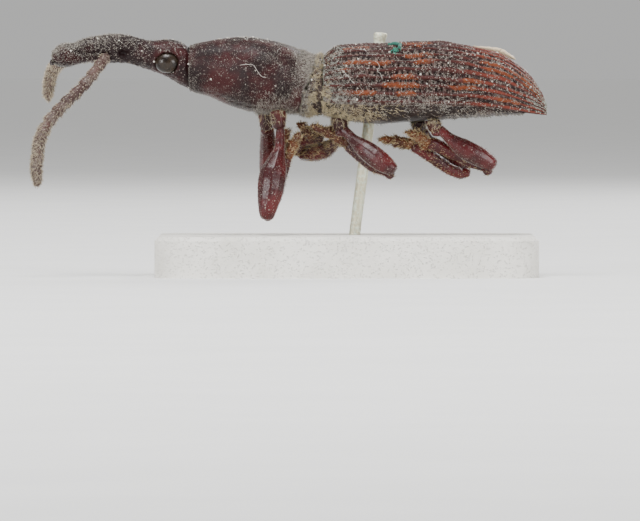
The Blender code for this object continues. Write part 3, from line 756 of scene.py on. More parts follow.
SEAM_REACH = 0.14  # how far one CAD node's copy runs into the next
NECK, NECK_REACH = (4.75, 5.05), 0.16  # the head runs this far on into the fore body
HEAD_HOLLOWS = (
    ((2.72, 0.42, 0.76), (0.20, 0.22, 0.16), 0.20),  # the feeler's pit
    ((1.30, 0.40, 0.78), (0.75, 0.16, 0.09), 0.05),
    ((2.05, 0.50, 0.66), (0.22, 0.20, 0.18), 0.10),
    ((4.32, 0.62, 0.42), (0.62, 0.30, 0.56), -0.05),  # the swelling round the eye
    ((4.98, 0.70, 0.30), (0.07, 0.40, 0.60), 0.06),
)
SNOUT_CHANNEL = ((3.4, 0.0, 1.42), (1.3, 0.10, 0.25), 0.06)
SNOUT_TIP = ((0.16, 0.0, 0.62), (0.10, 0.30, 0.12), 0.08)
EYE_FIT = (1.12, 0.95, 1.06)  # fills the CAD's gap round the eye
EYE_SIDES, EYE_RINGS = 48, 28
JAW_ROOT, JAW_SHARE = 0.10, 0.55  # how far the jaws stand out, beside the CAD's
# The fold low on each side of the fore body: its ends, and its height along x
FOLD_ENDS, FOLD_STEPS = (5.35, 8.25), 12
FOLD_LINE = ((5.13, 5.88, 6.47, 7.26, 8.3), (-0.45, -0.66, -0.93, -1.19, -1.23))
FRONT_RIM = ((5.24, 0.0, 0.2), (0.05, 3.0, 3.0), 0.035)
NECK_LINE = ((9.40, -0.48), (9.30, -0.66), (9.20, -0.84))  # the dark slanting line
BELLY_RINGS = (15.05, 15.75, 16.35, 16.9)  # where one plate of the belly meets the next
PIN_LUMPS = (((12.16, 0.56, 1.42), (0.6, 0.6, 0.22), -0.05), ((12.10, 0.56, 1.02), (0.6, 0.6, 0.14), -0.07))


def cad_box(node):
    """The two corners of a CAD node's box, in millimetres in the insect's frame."""
    return [np.array(corner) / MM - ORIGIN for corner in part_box(node)]


def dented_sides(made, hollows):
    """Hollows on the left side, and then the same ones on the right."""
    for side in (LEFT, RIGHT):
        for (x, y, z), radii, depth in hollows:
            dented(made, (x, side * y, z), radii, depth)


def make_head():
    """Snout and head as one skin, with the feeler pits, a channel on top and coarse grain."""
    nodes = ("rostrum", "head")
    made = fused("head_skin", nodes, HORN, reach=(cad_box("rostrum")[1][0], SEAM_REACH))
    dented_sides(made, HEAD_HOLLOWS)
    dented(made, *SNOUT_CHANNEL)
    dented(made, *SNOUT_TIP)
    roughened(made, 0.13, 0.026)
    roughened(made, 0.05, 0.013, seed=5.0)
    points = points_of(made)
    points[:, 0] += np.interp(points[:, 0], NECK, (0.0, NECK_REACH))
    set_points(made.data, points)
    return kept(made, nodes, "cuticle")


def make_eyes():
    """Smooth domed eyes in the place of the coarse ones."""
    material = eye_material()
    ball, faces = round_ball(EYE_SIDES, EYE_RINGS)
    for letter in ("L", "R"):
        low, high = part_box(f"eye_{letter}")
        centre = np.array((low + high) / 2) / MM - ORIGIN
        radii = np.array(high - low) / MM / 2 * EYE_FIT
        points = centre + radii * ball[:, (0, 2, 1)]
        kept(new_object(f"eye_dome_{letter}", points, faces, material), (f"eye_{letter}",), "eye")


def make_jaws():
    """The small jaws at the tip of the snout."""
    for letter in ("L", "R"):
        node = f"mandible_{letter}"
        made = fused(f"{node}_skin", (node,), HORN, voxel=0.02, rounds=4)
        points = points_of(made)
        points[:, 0] = JAW_ROOT + (points[:, 0] - JAW_ROOT) * JAW_SHARE
        set_points(made.data, points)
        kept(made, (node,), "cuticle")


def make_body():
    """Fore body, collar and the body under the wing cases."""
    fore = fused("pronotum_skin", ("pronotum",), HORN, rounds=14)
    dented_sides(fore, [
        ((x, 0.9, np.interp(x, *FOLD_LINE)), (0.22, 0.9, 0.05), 0.03)
        for x in np.linspace(*FOLD_ENDS, FOLD_STEPS)
    ])
    dented(fore, *FRONT_RIM)
    roughened(fore, 0.6, 0.014)
    roughened(fore, 0.06, 0.004, seed=3.0)
    dented_sides(fore, [((x, 1.05, z), (0.10, 0.5, 0.15), 0.05) for x, z in NECK_LINE])
    kept(fore, ("pronotum",), "cuticle")
    narrow = fused("collar_skin", ("mesothorax",), UNDER_HORN, rounds=10)
    roughened(narrow, 0.24, 0.05, seed=8.0)
    roughened(narrow, 0.09, 0.02, seed=9.0)
    kept(narrow, ("mesothorax",), "underside")
    nodes = ("metathorax", "abdomen")
    reach = (cad_box("metathorax")[1][0], SEAM_REACH)
    rear = fused("trunk_skin", nodes, UNDER_HORN, voxel=0.045, reach=reach)
    for x in BELLY_RINGS:
        dented(rear, (x, 0.0, -1.9), (0.05, 3.0, 0.9), 0.035)
    roughened(rear, 0.3, 0.02, seed=2.0)
    kept(rear, nodes, "underside")
    return fore, narrow, rear


def make_stand():
    """The pin and the base."""
    pin = fused("stand_pin_metal", ("stand_pin",), pin_material(), voxel=0.03, rounds=2)
    for lump in PIN_LUMPS:
        dented(pin, *lump)
    roughened(pin, 0.12, 0.012)
    kept(pin, ("stand_pin",), "pin")
    NODES["stand_base"].data.materials.clear()
    NODES["stand_base"].data.materials.append(base_material())


# Wing cases: x, height of the seam, height of the lower margin, half the width

ELYTRA = (
    (10.06, 0.66, -0.92, 1.14), (10.20, 0.80, -0.98, 1.28), (10.51, 1.01, -1.02, 1.44),
    (10.88, 1.06, -1.04, 1.53), (11.80, 1.11, -1.06, 1.59), (14.12, 1.19, -1.10, 1.56),
    (15.04, 1.09, -1.12, 1.50), (15.51, 0.99, -1.14, 1.44), (16.47, 0.76, -1.22, 1.24),
    (17.21, 0.36, -1.32, 0.93), (17.68, -0.07, -1.38, 0.72), (18.05, -0.63, -1.42, 0.53),
    (18.24, -1.08, -1.43, 0.38),
)
SMOOTH_ELYTRA = through(ELYTRA, 12)
BODY_POWER, WIDEST_HALF, WIDEST_AT, TUCK = 2.25, 1.59, 0.38, 0.07
CASE_WALL, CASE_WALL_SHARE = 0.50, 0.42
SEAM = ((16.2, 17.2), (0.05, 0.010))  # the gap along the mid-line narrows towards the tail
MARGIN_DROP = 0.07  # closes the CAD's gap above the body
RIDGES, RIDGE_HEIGHT, RIDGE_WAVER = 11, 0.078, 0.42
ROWS, ACROSS, INNER = 300, RIDGES * 12 + 1, 10  # points along, over and under a wing case
PIT_STEP, PIT_DEPTH, PIT_WIDTH, PIT_SHIFT = 0.20, 0.075, 0.16, 0.37
BEAD_STEP, BEAD_HEIGHT, BEAD_SHIFT = 0.135, 0.018, 0.43
# Place along the body, and the ridges' sharpness or the pits' share there
RIDGE_SHARPNESS, PIT_FADE = ((14.0, 15.6), (1.5, 0.95)), ((14.4, 16.0), (1.0, 0.5))
# Orange stripes: ridge counted from the seam, start, end and strength
STRIPES = (
    (1, 12.85, 14.00, 0.90), (2, 10.70, 11.80, 0.75), (2, 12.90, 13.80, 0.60),
    (3, 10.15, 10.60, 0.60), (3, 15.75, 16.30, 0.60), (3, 17.20, 17.90, 0.60),
    (4, 12.95, 14.10, 0.95), (4, 15.75, 16.65, 0.85), (4, 16.95, 18.12, 1.35),
    (5, 10.75, 12.60, 1.00), (5, 13.35, 14.25, 0.95), (5, 15.95, 17.00, 1.00), (5, 17.35, 18.10, 1.25),
    (6, 10.60, 11.00, 0.80), (7, 12.55, 13.45, 0.90), (7, 15.10, 15.80, 1.00),
    (8, 12.25, 13.55, 1.10), (8, 14.70, 15.65, 1.10),
    (9, 10.60, 12.00, 0.95), (9, 12.70, 13.55, 0.95), (9, 16.35, 17.30, 1.00),
)
STRIPE_SOFT, STRIPE_HALF, STRIPE_EDGE = 0.28, 0.46, 0.20
FLAKE_ENDS, FLAKE_ROWS, FLAKE_SIDES = (15.62, 17.16), 40, 16


def step(values, start, width):
    """A rise from 0 at start to 1 over a width; over a negative one it lies before start."""
    return np.clip((values - start) / width, 0, 1)


def case_section(x):
    """Seam height, margin height and half width of the wing cases at x."""
    top, margin, half = (np.interp(x, SMOOTH_ELYTRA[:, 0], SMOOTH_ELYTRA[:, k]) for k in (1, 2, 3))
    return top, margin - MARGIN_DROP, half


def case_arc(x, inset, count):
    """Points (y, z) at even distances from the seam to the margin of one section."""
    top, margin, half = case_section(x)
    top, half = top - inset, half - inset
    widest = margin + WIDEST_AT * (top - margin)
    turn = np.linspace(0, math.pi / 2, 49)
    down = np.linspace(0, 1, 13)[1:]
    y = np.r_[half * np.sin(turn) ** (2 / BODY_POWER), half * (1 - TUCK * down**2)]
    rise = np.clip(np.cos(turn), 0, 1) ** (2 / BODY_POWER)
    z = np.r_[widest + (top - widest) * rise, widest + (margin - widest) * down]
    run = np.r_[0, np.cumsum(np.hypot(np.diff(y), np.diff(z)))]
    even = np.linspace(0, run[-1], count)
    return np.stack((np.interp(even, run, y), np.interp(even, run, z)), axis=1)


def case_row(x, share):
    """One section of a wing case: its points, ridge and pit values and place among the ridges."""
    waver = noise_over([(x / 0.9, each * 5.0, 7.0) for each in share])
    place = RIDGES * share + RIDGE_WAVER * np.sin(math.pi * share) * waver
    rib, groove = np.floor(place), np.round(place)
    worn = noise_over([(x / 0.7, each * 3.1, 2.0) for each in rib])
    crest = (0.5 - 0.5 * np.cos(2 * math.pi * place)) ** np.interp(x, *RIDGE_SHARPNESS)
    crest = crest * np.clip(0.9 + 0.7 * worn, 0.45, 1.15)
    pits = np.exp(-((place - groove) / PIT_WIDTH) ** 2) * (groove > 0) * (groove < RIDGES)
    pits *= np.clip(1.4 * np.sin(2 * math.pi * (x / PIT_STEP + groove * PIT_SHIFT)), 0, 1)
    pits *= np.interp(x, *PIT_FADE)
    beads = 0.5 + 0.5 * np.sin(2 * math.pi * (x / BEAD_STEP + rib * BEAD_SHIFT))
    height = RIDGE_HEIGHT * (crest - 0.5) + BEAD_HEIGHT * beads * crest - PIT_DEPTH * pits
    points = case_arc(x, 0.0, len(share))
    out = unit(np.gradient(points, axis=0)[:, ::-1] * (-1, 1))
    size = case_section(x)[2] / WIDEST_HALF
    return points + out * (size * height)[:, None], crest, pits, place


def stripe_strength(x, place):
    """How orange a point is: x along the body, place in ridges from the seam."""
    value = np.zeros_like(x)
    for ridge, start, end, strength in STRIPES:
        inside = np.clip((x - start) / STRIPE_SOFT + 0.5, 0, 1) * np.clip((end - x) / STRIPE_SOFT + 0.5, 0, 1)
        across = np.abs(place - ridge - 0.5)
        value = np.maximum(value, strength * inside * step(across, STRIPE_HALF, -STRIPE_EDGE))
    return value


def make_wing_case(letter, side):
    """One wing case: ridges, a row of pits in each groove, and a thick inner wall."""
    share = np.linspace(0, 1, ACROSS)
    x_rows = np.linspace(ELYTRA[0][0], ELYTRA[-1][0], ROWS)
    ring = ACROSS + INNER
    points = np.empty((ROWS, ring, 3))
    ridge, pit = np.zeros((2, ROWS, ring))
    place = np.full((ROWS, ring), float(RIDGES))
    for i, x in enumerate(x_rows):
        outer, ridge[i, :ACROSS], pit[i, :ACROSS], place[i, :ACROSS] = case_row(x, share)
        top, margin, half = case_section(x)
        wall = min(CASE_WALL, CASE_WALL_SHARE * half, CASE_WALL_SHARE * (top - margin))
        points[i, :, 0] = x
        points[i, :ACROSS, 1:] = outer
        points[i, ACROSS:, 1:] = case_arc(x, wall, INNER)[::-1]
    seam = np.interp(x_rows, *SEAM)[:, None]
    points[:, :, 1] = side * (points[:, :, 1] + seam / 2)
    faces = ring_faces(ROWS, ring)
    if side == RIGHT:
        faces = faces[:, ::-1]
    made = new_object(f"wing_case_{letter}", points.reshape(-1, 3), faces, WING_HORN)
    along, over = points[:, :, 0], np.r_[share, np.ones(INNER)][None, :]
    buried = step(over, 0.83, 0.06) * step(along, 15.4, -1.2)
    beside_seam = np.clip(1 - np.abs(over * RIDGES - 0.62) / 0.55, 0, 1) ** 0.4
    for name, values in (
        ("ridge", ridge),
        # pit marks where the pits sink in; the material paints shade into them from it.
        ("pit", pit),
        ("dusty", np.maximum(np.clip(1.1 - pit - 0.6 * ridge, 0.1, 1), buried)),
        ("stripe", stripe_strength(along, place)),
        ("scar", np.exp(-((along - 16.3) / 0.78) ** 4) * beside_seam * (side == RIGHT)),
        ("rear", step(along, 14.8, 1.4)),
    ):
        paint(made.data, name, values.ravel())
    close_ends(made)
    roughened(made, 0.07, 0.012)
    return kept(made, (f"elytron_{letter}",), "wing_case")


def make_flake():
    """A torn pale flake that stands a little off the right wing case beside its seam."""
    tree = surface_of(wings["R"])
    path, up = [], []
    for x in np.linspace(*FLAKE_ENDS, FLAKE_ROWS):
        near, out, _, _ = tree.find_nearest(Vector((x, 0.20, case_section(x)[0] + 0.2)))
        path.append(near)
        up.append(out)
    path, up = np.array(path), np.array(up)
    share = np.linspace(-1, 1, FLAKE_ROWS)
    body = np.sqrt(np.clip(1 - np.abs(share) ** 2.2, 0.002, 1))
    body *= np.interp(share, (-1, 0.4, 1), (0.45, 1.05, 1.15))
    half, thick = (0.14 * body)[:, None, None], (0.085 * body + 0.004)[:, None, None]
    side = unit(np.cross(np.gradient(path, axis=0), up))
    turn = np.linspace(0, 2 * math.pi, FLAKE_SIDES, endpoint=False)[None, :, None]
    ring = side[:, None] * (np.cos(turn) * half) + up[:, None] * (np.sin(turn) * thick)
    middle = path + up * (0.06 + 0.04 * share)[:, None]
    points = (middle[:, None] + ring).reshape(-1, 3)
    made = new_object("wing_flake", points, ring_faces(FLAKE_ROWS, FLAKE_SIDES), FLAKE)
    close_ends(made)
    roughened(made, 0.09, 0.02)
    kept_on(wings["R"], made)


# Legs and feelers

LEGS = ("fore_L", "fore_R", "mid_L", "mid_R", "hind_L", "hind_R")
LEG_PARTS = (  # part, material, slot, roughness and the joint: the part before it and a radius
    ("coxa", COXA_HORN, "leg", 0.010, None),
    ("femur", LEG_HORN, "leg", 0.005, ("coxa", 0.20)),
    ("tibia", LEG_HORN, "leg", 0.010, ("femur", 0.19)),
    ("tarsus", FOOT_HORN, "foot", 0.010, ("tibia", 0.17)),
)
STALK = ((0.0, 0.25, 0.45, 1.0), (0.72, 0.78, 1.0, 1.06))  # share of a thigh's length; thickness
STALK_SLICES, STALK_THINNING = 24, 7
UNSTALKED = "fore_R"

# The middle line of each feeler, and its joints
FEELER_LINES = {
    "L": (
        (2.10, -0.30, 0.67), (1.80, -0.83, 0.26), (1.47, -1.16, -0.18), (1.14, -1.35, -0.56),
        (0.79, -1.56, -0.89), (0.51, -1.81, -1.17), (0.27, -1.96, -1.43), (0.07, -2.14, -1.68),
        (-0.10, -2.29, -1.96), (-0.26, -2.46, -2.31), (-0.34, -2.60, -2.64), (-0.36, -2.72, -2.93),
        (-0.41, -2.83, -3.45), (-0.35, -2.95, -4.10),
    ),
    "R": (
        (2.10, 0.30, 0.60), (1.88, 1.07, 0.62), (1.65, 1.43, 0.64), (1.38, 1.69, 0.66),
        (1.07, 1.99, 0.65), (0.75, 2.32, 0.60), (0.46, 2.57, 0.52), (0.24, 2.83, 0.40),
        (0.06, 3.13, 0.22), (-0.05, 3.36, 0.0), (-0.13, 3.58, -0.30), (-0.18, 3.80, -0.70),
        (-0.17, 3.92, -1.00),
    ),
}
FEELER_RADIUS, SCAPE_LENGTH, CLUB_LENGTH, PLAIN_JOINTS = 0.245, 1.6, 1.35, 7
FEELER_ROWS, FEELER_SIDES = 360, 40
TIP_LENGTH, TIP_SHARE = 0.55, 0.62  # the club narrows over its last stretch
FEELER_TAPER = ((0.0, 0.55, 0.72, 1.0), (0.84, 0.92, 0.88, 0.80))  # share of its length; thickness
# Place along a joint, and its thickness there: plain joints widen forwards, club joints barely
PLAIN_JOINT = ((0.0, 0.10, 0.45, 0.80, 0.93, 1.0), (0.70, 0.82, 0.95, 1.05, 0.98, 0.70))
CLUB_JOINT = ((0.0, 0.12, 0.5, 0.86, 1.0), (0.90, 0.98, 1.02, 1.0, 0.90))


def stalked(made, root_node):
    """Slim a thigh near its root, so that it swells into a club."""
    points = points_of(made)
    root = points_of(NODES[root_node]).mean(0)
    middle = points.mean(0)
    axis = np.linalg.svd(points[::STALK_THINNING] - middle, full_matrices=False)[2][0]
    if np.dot(root - middle, axis) > 0:
        axis = -axis
    along = (points - middle) @ axis
    share = (along - along.min()) / (along.max() - along.min())
    slice_of = np.minimum((share * STALK_SLICES).astype(int), STALK_SLICES - 1)
    centres = np.array([points[slice_of == k].mean(0) for k in range(STALK_SLICES)])
    places = (np.arange(STALK_SLICES) + 0.5) / STALK_SLICES
    spine = np.stack([np.interp(share, places, centres[:, k]) for k in range(3)], axis=1)
    away = points - spine
    away -= (away @ axis)[:, None] * axis
    set_points(made.data, points + away * (np.interp(share, *STALK) - 1)[:, None])


def make_legs():
    """Smooth skins for every leg, one piece to each CAD node, each with its joint."""
    skins = {}
    for leg in LEGS:
        for part, material, slot, rough, before in LEG_PARTS:
            node = f"{part}_{leg}"
            joint = (f"{before[0]}_{leg}", before[1]) if before else None
            made = fused(f"{node}_skin", (node,), material, voxel=0.03, rounds=5, joint=joint)
            if part == "femur" and leg != UNSTALKED:
                stalked(made, f"coxa_{leg}")
            roughened(made, 0.09, rough)
            skins[node] = kept(made, (node,), slot)
    return skins


def make_feelers():
    """Each feeler as one skin: a long first joint, seven plain ones and a club of three.

    Gives back each skin with its root, its tip and its length.
    """
    skins = {}
    for letter, line in FEELER_LINES.items():
        curve = through(line, 12)
        run = np.r_[0, np.cumsum(np.linalg.norm(np.diff(curve, axis=0), axis=1))]
        length = run[-1]
        shares = np.array([SCAPE_LENGTH] + [1.0] * PLAIN_JOINTS + [CLUB_LENGTH] * 3)
        edges = np.r_[0, np.cumsum(shares)] / shares.sum() * length
        place_along = np.linspace(0, length, FEELER_ROWS)
        joint = np.clip(np.searchsorted(edges, place_along, side="right") - 1, 0, len(shares) - 1)
        within = (place_along - edges[joint]) / (edges[joint + 1] - edges[joint])
        plain, club = np.interp(within, *PLAIN_JOINT), np.interp(within, *CLUB_JOINT)
        left = step(length - place_along, 0, FEELER_RADIUS)
        thick = np.where(joint > PLAIN_JOINTS, club, plain)
        thick *= np.sqrt(np.clip(1 - (1 - left) ** 2, 0.0004, 1))
        thick *= np.interp(place_along / length, *FEELER_TAPER)
        thick *= np.interp(length - place_along, (0.0, TIP_LENGTH), (TIP_SHARE, 1.0))
        path = np.stack([np.interp(place_along, run, curve[:, k]) for k in range(3)], axis=1)
        made = tube(f"feeler_skin_{letter}", path, thick * FEELER_RADIUS, FEELER_SIDES, FEELER_HORN)
        roughened(made, 0.05, 0.008, seed=4.0)
        nodes = tuple(f"antenna_{part}_{letter}" for part in ("scape", "funicle", "club"))
        skins[letter] = (kept(made, nodes, "feeler"), np.array(line[0]), path[-1], length)
    return skins


# Coats: the numbers in a pile are its count, heading, lift, spread, length, width and curl

FIBRE_THREAD = (0.004, 0.008, 0.16)  # radius, lift and wander
STRIP = (9.84, 10.07)  # the golden strip's front and rear edge, at the top of the collar
EYE_CENTRE, EYE_REACH, PIT_CENTRE, PIT_REACH = (4.32, 0.42), (0.44, 0.36), (2.72, 0, 0.76), (0.24, 9, 0.17)
LINT_LINE = (  # places (x, y) that the teal thread runs over
    (12.42, -0.66), (12.56, -0.72), (12.70, -0.82), (12.82, -0.95), (12.84, -1.09), (12.80, -1.24)
)
LINT_RADIUS, LINT_LIFT, LINT_COUNT, LINT_TOP = 0.064, 0.045, 16, 0.88
# The longest loose fibres on the left side: the skin, and places (x, z) that each runs over
STRAY_FIBRES = (
    ("pronotum", ((6.99, 0.33), (7.25, 0.35), (7.48, 0.33), (7.62, 0.14), (7.78, -0.07), (7.96, -0.12))),
    ("wing", ((10.75, 0.15), (10.93, -0.05), (11.06, -0.22), (11.19, -0.35))),
    ("wing", ((12.00, 0.45), (12.10, 0.30), (12.02, 0.14), (12.15, 0.00), (12.20, -0.18))),
)
STRAY_RADIUS, STRAY_LIFT = 0.0055, 0.026


def band(values, low, high, soft):
    """1 between low and high, falling to 0 over a soft width on both sides."""
    return np.clip((values - low) / soft + 1, 0, 1) * np.clip((high - values) / soft + 1, 0, 1)


def clumped(spot, size):
    """A weight that gathers tufts or grains into clumps about size wide."""
    return np.clip(0.45 + 2.0 * noise_over(spot / size), 0.05, 1.4)


def upward(share):
    """A weight for places that look up; a larger share takes in more of the sides."""
    return lambda spot, out: np.clip(out[:, 2] + share, 0, 1)


def raised(spot):
    """How high each place is, from 0 at the lowest to 1 at the highest."""
    return step(spot[:, 2], spot[:, 2].min(), np.ptp(spot[:, 2]))


def dress_head():
    """Short pale bristles and dust on the snout and head."""
    def wanted(spot, out):
        x, y, _ = spot.T
        top = np.clip(out[:, 2] * 0.6 + 0.42, 0.14, 0.8)
        front = np.clip(1.3 - x / 3.2, 0.16, 1.2)
        eye = (((spot[:, [0, 2]] - EYE_CENTRE) / EYE_REACH) ** 2).sum(1)
        clear = np.where(np.abs(y) > 0.3, np.clip((eye - 0.85) * 2.5, 0, 1), 1)
        pit = (((spot - PIT_CENTRE) / PIT_REACH) ** 2).sum(1) > 1
        return top * front * clear * pit * (x < 4.98) * (x > 0.02) * (0.5 + clumped(spot, 0.11))

    dusting("head_dust", head, 7200, wanted, 0.020, DUST)
    pile("head_bristles", head, 2100, wanted, (-0.7, 0, 0), 0.9, 0.35, (0.04, 0.10), 0.014, 0.2, GREY_HAIR)


def dress_pronotum():
    """Dust all over, thick at the rear, a fringe at its hind edge and a few loose fibres."""
    def wanted(spot, out):
        x, _, z = spot.T
        neck = np.exp(-((x - 9.27) / 0.26) ** 2 - ((z - 0.12) / 0.24) ** 2)
        spread = 0.10 + 0.9 * step(x, 8.1, 1.1) ** 1.5 + 0.45 * step(x, 5.55, -0.35)
        spread += 0.04 * np.clip(out[:, 2], 0, 1) + 0.30 * (step(x, 7.2, 1.2) * step(z, -0.1, 0.5))
        return spread * np.clip(0.6 + 1.6 * noise_over(spot / 0.45), 0.06, 1.6) + 1.5 * neck

    def at_neck(spot, out):
        x, _, z = spot.T
        upper = 0.30 + step(z, -0.35, 0.5)
        return step(x, 9.15, 0.3) * upper * (out[:, 0] < 0.8) * clumped(spot, 0.2)

    def above_and_below(spot, out):
        return 0.25 + 0.3 * (out[:, 2] > 0.5) + (out[:, 2] < -0.5)

    def on_breast(spot, out):
        return band(spot[:, 0], 7.75, 8.9, 0.3) * np.clip(-out[:, 2] - 0.3, 0, 1)

    def on_back(spot, out):
        return band(spot[:, 0], 6.3, 8.0, 0.5) * (out[:, 2] > 0.93) * clumped(spot, 0.25)

    skin = pronotum
    dusting("pronotum_dust", skin, 23000, wanted, 0.0135, DUST)
    pile("pronotum_fringe", skin, 2400, at_neck, (1, 0, 0), 0.28, 0.35, (0.07, 0.20), 0.015, 0.3, GREY_HAIR)
    pile("pronotum_fuzz", skin, 4200, above_and_below, (0.6, 0, 0), 1.0, 0.5, (0.02, 0.05), 0.008, 0.2,
         GREY_HAIR)
    pile("breast_down", skin, 1500, on_breast, (0.3, 0, -0.6), 1.0, 0.6, (0.06, 0.20), 0.015, 0.4, GREY_HAIR)
    dusting("pronotum_back_crumbs", skin, 90, on_back, 0.05, CRUMB, (0.03, 0.09))
    starts, _ = spots_on(skin, 9, upward(0.25))
    strings("pronotum_fibres", skin, starts, (0.3, 0.9), *FIBRE_THREAD, FIBRE)


def dress_collar():
    """Golden and grey down, a strip of straw-coloured pile and dust on the collar."""
    def slanted(spot):
        return spot[:, 0] - 0.195 * (spot[:, 2] - 0.7)

    def rear_and_low(spot, out):
        rear, low = step(slanted(spot), 9.62, 0.30), step(spot[:, 2], -0.2, -0.8)
        bare = np.where(slanted(spot) > STRIP[1], 0.08, 1.0)
        return (0.06 + rear + 0.8 * low) * bare * clumped(spot, 0.17) ** 2

    def on_strip(spot, out):
        return band(slanted(spot), *STRIP, 0.05) * clumped(spot, 0.19) ** 2.5 * (np.abs(out[:, 0]) < 0.9)

    def front_and_top(spot, out):
        front = 0.25 + step(spot[:, 0], 9.75, -0.3) + 0.5 * np.clip(out[:, 2], 0, 1)
        return front * (slanted(spot) < STRIP[1] - 0.03) * clumped(spot, 0.14)

    spot, out = spots_on(collar, 5200, rear_and_low)
    lie = lying(out, (1, 0, -0.2), 0.55, 0.6)
    length = RNG.uniform(0.08, 0.24, len(spot))
    golden = slanted(spot) + RNG.normal(scale=0.13, size=len(spot)) > STRIP[0]
    parted_pile(collar, spot, lie, length, 0.017, 0.4, (
        ("collar_down_golden", golden, GOLD_HAIR), ("collar_down_grey", ~golden, GREY_HAIR)
    ))
    pile("collar_pile", collar, 620, on_strip, (-0.1, 0, 0), 1.1, 0.7, (0.08, 0.22), 0.018, 0.5, STRAW_HAIR)
    dusting("collar_dust", collar, 6500, front_and_top, 0.027, DUST)


def dress_trunk():
    """Golden-grey down, a tuft and dust on the flanks under the wing cases."""
    def flank(spot, out):
        x, y, z = spot.T
        low = np.maximum(step(z, -1.75, 0.35), 0.10)
        bald = 1 - 0.8 * band(x, 12.6, 14.2, 0.4) * (z < -1.35)
        return low * bald * np.clip(1.6 - (x - 10) / 6, 0.45, 1.6) * (np.abs(y) > 0.15)

    def front_tuft(spot, out):
        x, y, z = spot.T
        return band(x, 10.25, 11.4, 0.7) * band(z, -1.55, -1.0, 0.2) * (np.abs(y) > 0.6) * clumped(spot, 0.15)

    spot, out = spots_on(trunk, 7400, flank)
    upper = step(spot[:, 2], -1.35, 0.2)
    heading = np.stack((1 - 0.4 * upper, np.zeros_like(upper), 0.9 * upper - 0.35), axis=1)
    lie = lying(out, heading, 0.45, 0.4)
    length = RNG.uniform(0.07, 0.17, len(spot)) * (1 + 0.6 * upper)
    front = spot[:, 0] < 13.0
    parted_pile(trunk, spot, lie, length, 0.020, 0.35, (
        ("trunk_down_front", front, GOLD_HAIR), ("trunk_down_rear", ~front, GREY_HAIR)
    ))
    pile("trunk_tuft", trunk, 2200, front_tuft, (0.3, 0, 0.2), 0.8, 0.7, (0.08, 0.20), 0.020, 0.5, STRAW_HAIR)
    dusting("trunk_dust", trunk, 7500, lambda spot, out: flank(spot, out) * clumped(spot, 0.35), 0.026, DUST)


def dress_wings():
    """Dust between the ridges, more at the base and tail, fibres and the teal lint."""
    def over_all(spot, out):
        x, y, z = spot.T
        _, margin, half = case_section(x)
        outer = (out[:, 2] > -0.2) | (np.abs(y) > 0.9)
        outside = ((np.abs(y) / half) ** 2 + step(z, margin, 2.2) ** 2) > 0.55
        patch = np.clip(0.7 + 1.3 * noise_over(spot * (0.5, 1, 1) / 0.4), 0.1, 1.6) * clumped(spot, 0.12)
        low = step(z - margin, 0.50, -0.2) * step(x, 15.6, -1.2)
        share = 0.35 + 0.7 * step(x, 11.6, -1.3) + 0.6 * step(x, 16.8, 1.2)
        return outer * outside * (share * patch + 0.7 * low * clumped(spot, 0.15))

    def at_ends(spot, out):
        x, y, z = spot.T
        reach = band(x, 10.02, 10.7, 0.25) + 0.8 * band(x, 17.95, 18.3, 0.2)
        reach += 1.4 * step(x, 17.4, 0.4) * step(z, -0.85, -0.2)
        patch = np.clip(0.5 + 1.5 * noise_over(spot / 0.3), 0.05, 1)
        return reach * (out[:, 2] > -0.3) * (np.abs(y) > 0.1) * patch

    def on_front_rim(spot, out):
        x, y, z = spot.T
        lower = np.clip(-z / 0.8, 0.04, 1) * (np.abs(y) > 0.35) * (out[:, 0] < 0.5)
        return band(x, 10.0, 10.12, 0.30) * lower * clumped(spot, 0.17) ** 2.5

    for letter, wing in wings.items():
        dusting(f"wing_dust_{letter}", wing, 18000, over_all, 0.021, DUST)
        dusting(f"wing_base_dust_{letter}", wing, 2200, at_ends, 0.030, GREEN_DUST)
        pile(f"wing_rim_pile_{letter}", wing, 300, on_front_rim, (-1, 0, 0.1), 0.9, 0.5,
             (0.07, 0.19), 0.017, 0.4, STRAW_HAIR)
        starts, _ = spots_on(wing, 30, upward(0.2))
        strings(f"wing_fibres_{letter}", wing, starts, (0.12, 0.5), *FIBRE_THREAD, FIBRE)
    along, beside = RNG.uniform(12.54, 12.90, LINT_COUNT), RNG.uniform(-1.22, -0.84, LINT_COUNT)
    starts = np.stack((along, beside, np.full(LINT_COUNT, LINT_TOP)), axis=1)
    strings("wing_lint", wings["L"], starts, (0.10, 0.22), 0.020, 0.03, 0.45, LINT)
    tree = surface_of(wings["L"])
    path = []
    for x, y in through(LINT_LINE, 8):
        near, out, _, _ = tree.find_nearest(Vector((x, y, case_section(x)[0])))
        path.append(near + out * LINT_LIFT)
    path = through([tuple(point) for point in path[::4]], 6)
    thread = tube("wing_lint_thread", path, np.full(len(path), LINT_RADIUS), 10, LINT)
    roughened(thread, 0.06, 0.012)
    kept_on(wings["L"], thread)


def thigh_dust(node):
    """A weight for the upper part and the edges of a thigh."""
    low, high = (corner[2] for corner in cad_box(node))

    def wanted(spot, out):
        edge = np.clip(np.abs(out[:, 0]) + np.abs(out[:, 2]) * 0.6 - 0.55, 0, 1)
        return 0.05 + 0.35 * step(spot[:, 2], low, high - low) ** 2 + edge

    return wanted


